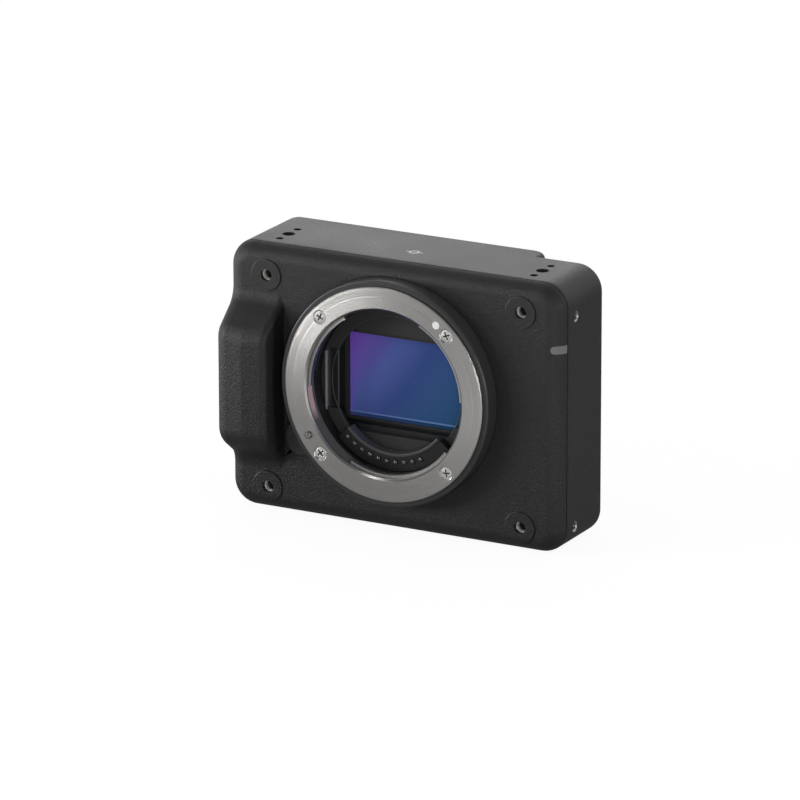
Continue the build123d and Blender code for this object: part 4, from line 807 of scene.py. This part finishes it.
def plain_mesh(name, vertices, faces):
    mesh = bpy.data.meshes.new(name)
    mesh.from_pydata([tuple(v) for v in vertices], [], faces)
    mesh.update()
    piece = bpy.data.objects.new(name, mesh)
    bpy.context.scene.collection.objects.link(piece)
    return piece


def seen_directly(tree, gloss_share):
    """1 where the camera or a see-through piece looks, and a share of it where a glossy ray looks."""
    path = tree.nodes.new("ShaderNodeLightPath")
    seen, through = path.outputs["Is Camera Ray"], path.outputs["Is Transmission Ray"]
    straight = math_node(tree, "MAXIMUM", seen, through)
    mirrored = math_node(tree, "MULTIPLY", path.outputs["Is Glossy Ray"], gloss_share)
    return math_node(tree, "MAXIMUM", straight, mirrored)


FLOOR_REACH = 3.0
PAPER_GLOW = 0.93
floor = plain_mesh(
    "floor",
    [
        (-FLOOR_REACH, -FLOOR_REACH, 0.0),
        (FLOOR_REACH, -FLOOR_REACH, 0.0),
        (FLOOR_REACH, FLOOR_REACH, 0.0),
        (-FLOOR_REACH, FLOOR_REACH, 0.0),
    ],
    [(0, 1, 2, 3)],
)
floor_paper, paper_tree, paper_shader = principled(
    "floor_paper", (0.1, 0.1, 0.1), 0.9, Specular_IOR_Level=0.0
)
paper_shader.inputs["Emission Color"].default_value = (1.0, 1.0, 1.0, 1.0)
paper_split = paper_tree.nodes.new("ShaderNodeSeparateXYZ")
link(paper_tree, object_point(paper_tree), paper_split.inputs["Vector"])
leftward = math_node(paper_tree, "MULTIPLY", paper_split.outputs["X"], -1.0)
forward = math_node(paper_tree, "MULTIPLY", paper_split.outputs["Y"], -0.3)
# The mount ring mirrors the floor: bright towards its left, and in a patch before its right
toward_left = math_node(paper_tree, "ADD", leftward, forward)
paper_gloss = remap(paper_tree, toward_left, 0.11, 0.235, 0.2, 1.0)
beside = vector_node(paper_tree, "DISTANCE", object_point(paper_tree), (0.095, -0.14, 0.0))
paper_patch = remap(paper_tree, beside, 0.065, 0.115, 1.0, 0.0)
paper_seen = seen_directly(paper_tree, math_node(paper_tree, "MAXIMUM", paper_gloss, paper_patch))
paper_strength = math_node(paper_tree, "MULTIPLY", paper_seen, PAPER_GLOW)
link(paper_tree, paper_strength, paper_shader.inputs["Emission Strength"])
floor.data.materials.append(floor_paper)

world = bpy.context.scene.world or bpy.data.worlds.new("studio")
bpy.context.scene.world = world
world.use_nodes = True
sky = world.node_tree
sky.nodes.clear()
sky_out = sky.nodes.new("ShaderNodeOutputWorld")
sky_point = sky.nodes.new("ShaderNodeTexCoord").outputs["Generated"]
sky_split = sky.nodes.new("ShaderNodeSeparateXYZ")
link(sky, sky_point, sky_split.inputs["Vector"])
room = sky.nodes.new("ShaderNodeBackground")
behind = sky_split.outputs["Y"]
gloss = sky.nodes.new("ShaderNodeLightPath").outputs["Is Glossy Ray"]
# The room is darker before the object than behind it, and more so for mirrored rays
plain_room = remap(sky, behind, -0.4, 0.6, 0.5, 0.8)
gloss_room = remap(sky, behind, -0.1, 0.6, 0.14, 1.15)
change = math_node(sky, "MULTIPLY", gloss, math_node(sky, "SUBTRACT", gloss_room, plain_room))
link(sky, math_node(sky, "ADD", plain_room, change), room.inputs["Strength"])
backdrop = sky.nodes.new("ShaderNodeBackground")
backdrop.inputs["Strength"].default_value = 1.0
sky_mix = sky.nodes.new("ShaderNodeMixShader")
link(sky, seen_directly(sky, 0.0), sky_mix.inputs["Fac"])
link(sky, room.outputs["Background"], sky_mix.inputs[1])
link(sky, backdrop.outputs["Background"], sky_mix.inputs[2])
link(sky, sky_mix.outputs["Shader"], sky_out.inputs["Surface"])


def soft_lamp(name, place, target, width, height, watts):
    """Rectangular area lamp aimed at a point; all lengths in metres."""
    data = bpy.data.lights.new(name, "AREA")
    data.shape = "RECTANGLE"
    data.size = width
    data.size_y = height
    data.energy = watts
    lamp = bpy.data.objects.new(name, data)
    bpy.context.scene.collection.objects.link(lamp)
    lamp.location = place
    lamp.rotation_mode = "QUATERNION"
    lamp.rotation_quaternion = (Vector(target) - Vector(place)).to_track_quat("-Z", "Y")
    return lamp


MIDDLE = (0.0, 0.0, 0.04)
soft_lamp("strip_left", (-0.93, -0.36, 0.1), MIDDLE, 0.5, 0.17, 4.0)
soft_lamp("key_left", (-0.32, -0.32, 0.2), (-0.03, 0.0, 0.05), 0.16, 0.16, 0.45)
soft_lamp("beside_camera", (0.6, -1.12, 0.2), MIDDLE, 0.3, 0.3, 3.0)
soft_lamp("edge_right", (0.9, -0.18, 0.14), MIDDLE, 0.12, 0.3, 1.7)
soft_lamp("overhead", (-0.3, -0.28, 0.92), MIDDLE, 0.14, 0.14, 0.5)
soft_lamp("back_top", (-0.4, 0.85, 0.42), MIDDLE, 0.5, 0.3, 1.25)

# Camera at the photograph's view --------------------------------------------
AZIMUTH = math.radians(28.198)
ELEVATION = math.radians(17.218)
ROLL = math.radians(-0.115)
FOCAL_PIXELS = 6740.9
IMAGE_PIXELS = 800.0
SENSOR_WIDTH = 36.0

look = Vector(
    (
        -math.sin(AZIMUTH) * math.cos(ELEVATION),
        math.cos(AZIMUTH) * math.cos(ELEVATION),
        -math.sin(ELEVATION),
    )
)
right = Vector((math.cos(AZIMUTH), math.sin(AZIMUTH), 0.0))
up = right.cross(look)
rolled_right = right * math.cos(ROLL) + up * math.sin(ROLL)
rolled_up = up * math.cos(ROLL) - right * math.sin(ROLL)
turn = Matrix((rolled_right, rolled_up, -look)).transposed()
camera_data = bpy.data.cameras.new("photo_camera")
camera_data.sensor_width = SENSOR_WIDTH
camera_data.lens = FOCAL_PIXELS / IMAGE_PIXELS * SENSOR_WIDTH
camera_data.shift_x = 0.5 / IMAGE_PIXELS
camera_data.shift_y = -0.5 / IMAGE_PIXELS
camera_data.clip_start = 0.1
camera_data.clip_end = 20.0
camera = bpy.data.objects.new("photo_camera", camera_data)
bpy.context.scene.collection.objects.link(camera)
camera.matrix_world = Matrix.Translation((0.80633, -1.51218, 0.56433)) @ turn.to_4x4()
bpy.context.scene.camera = camera
bpy.context.scene.view_settings.view_transform = "Standard"
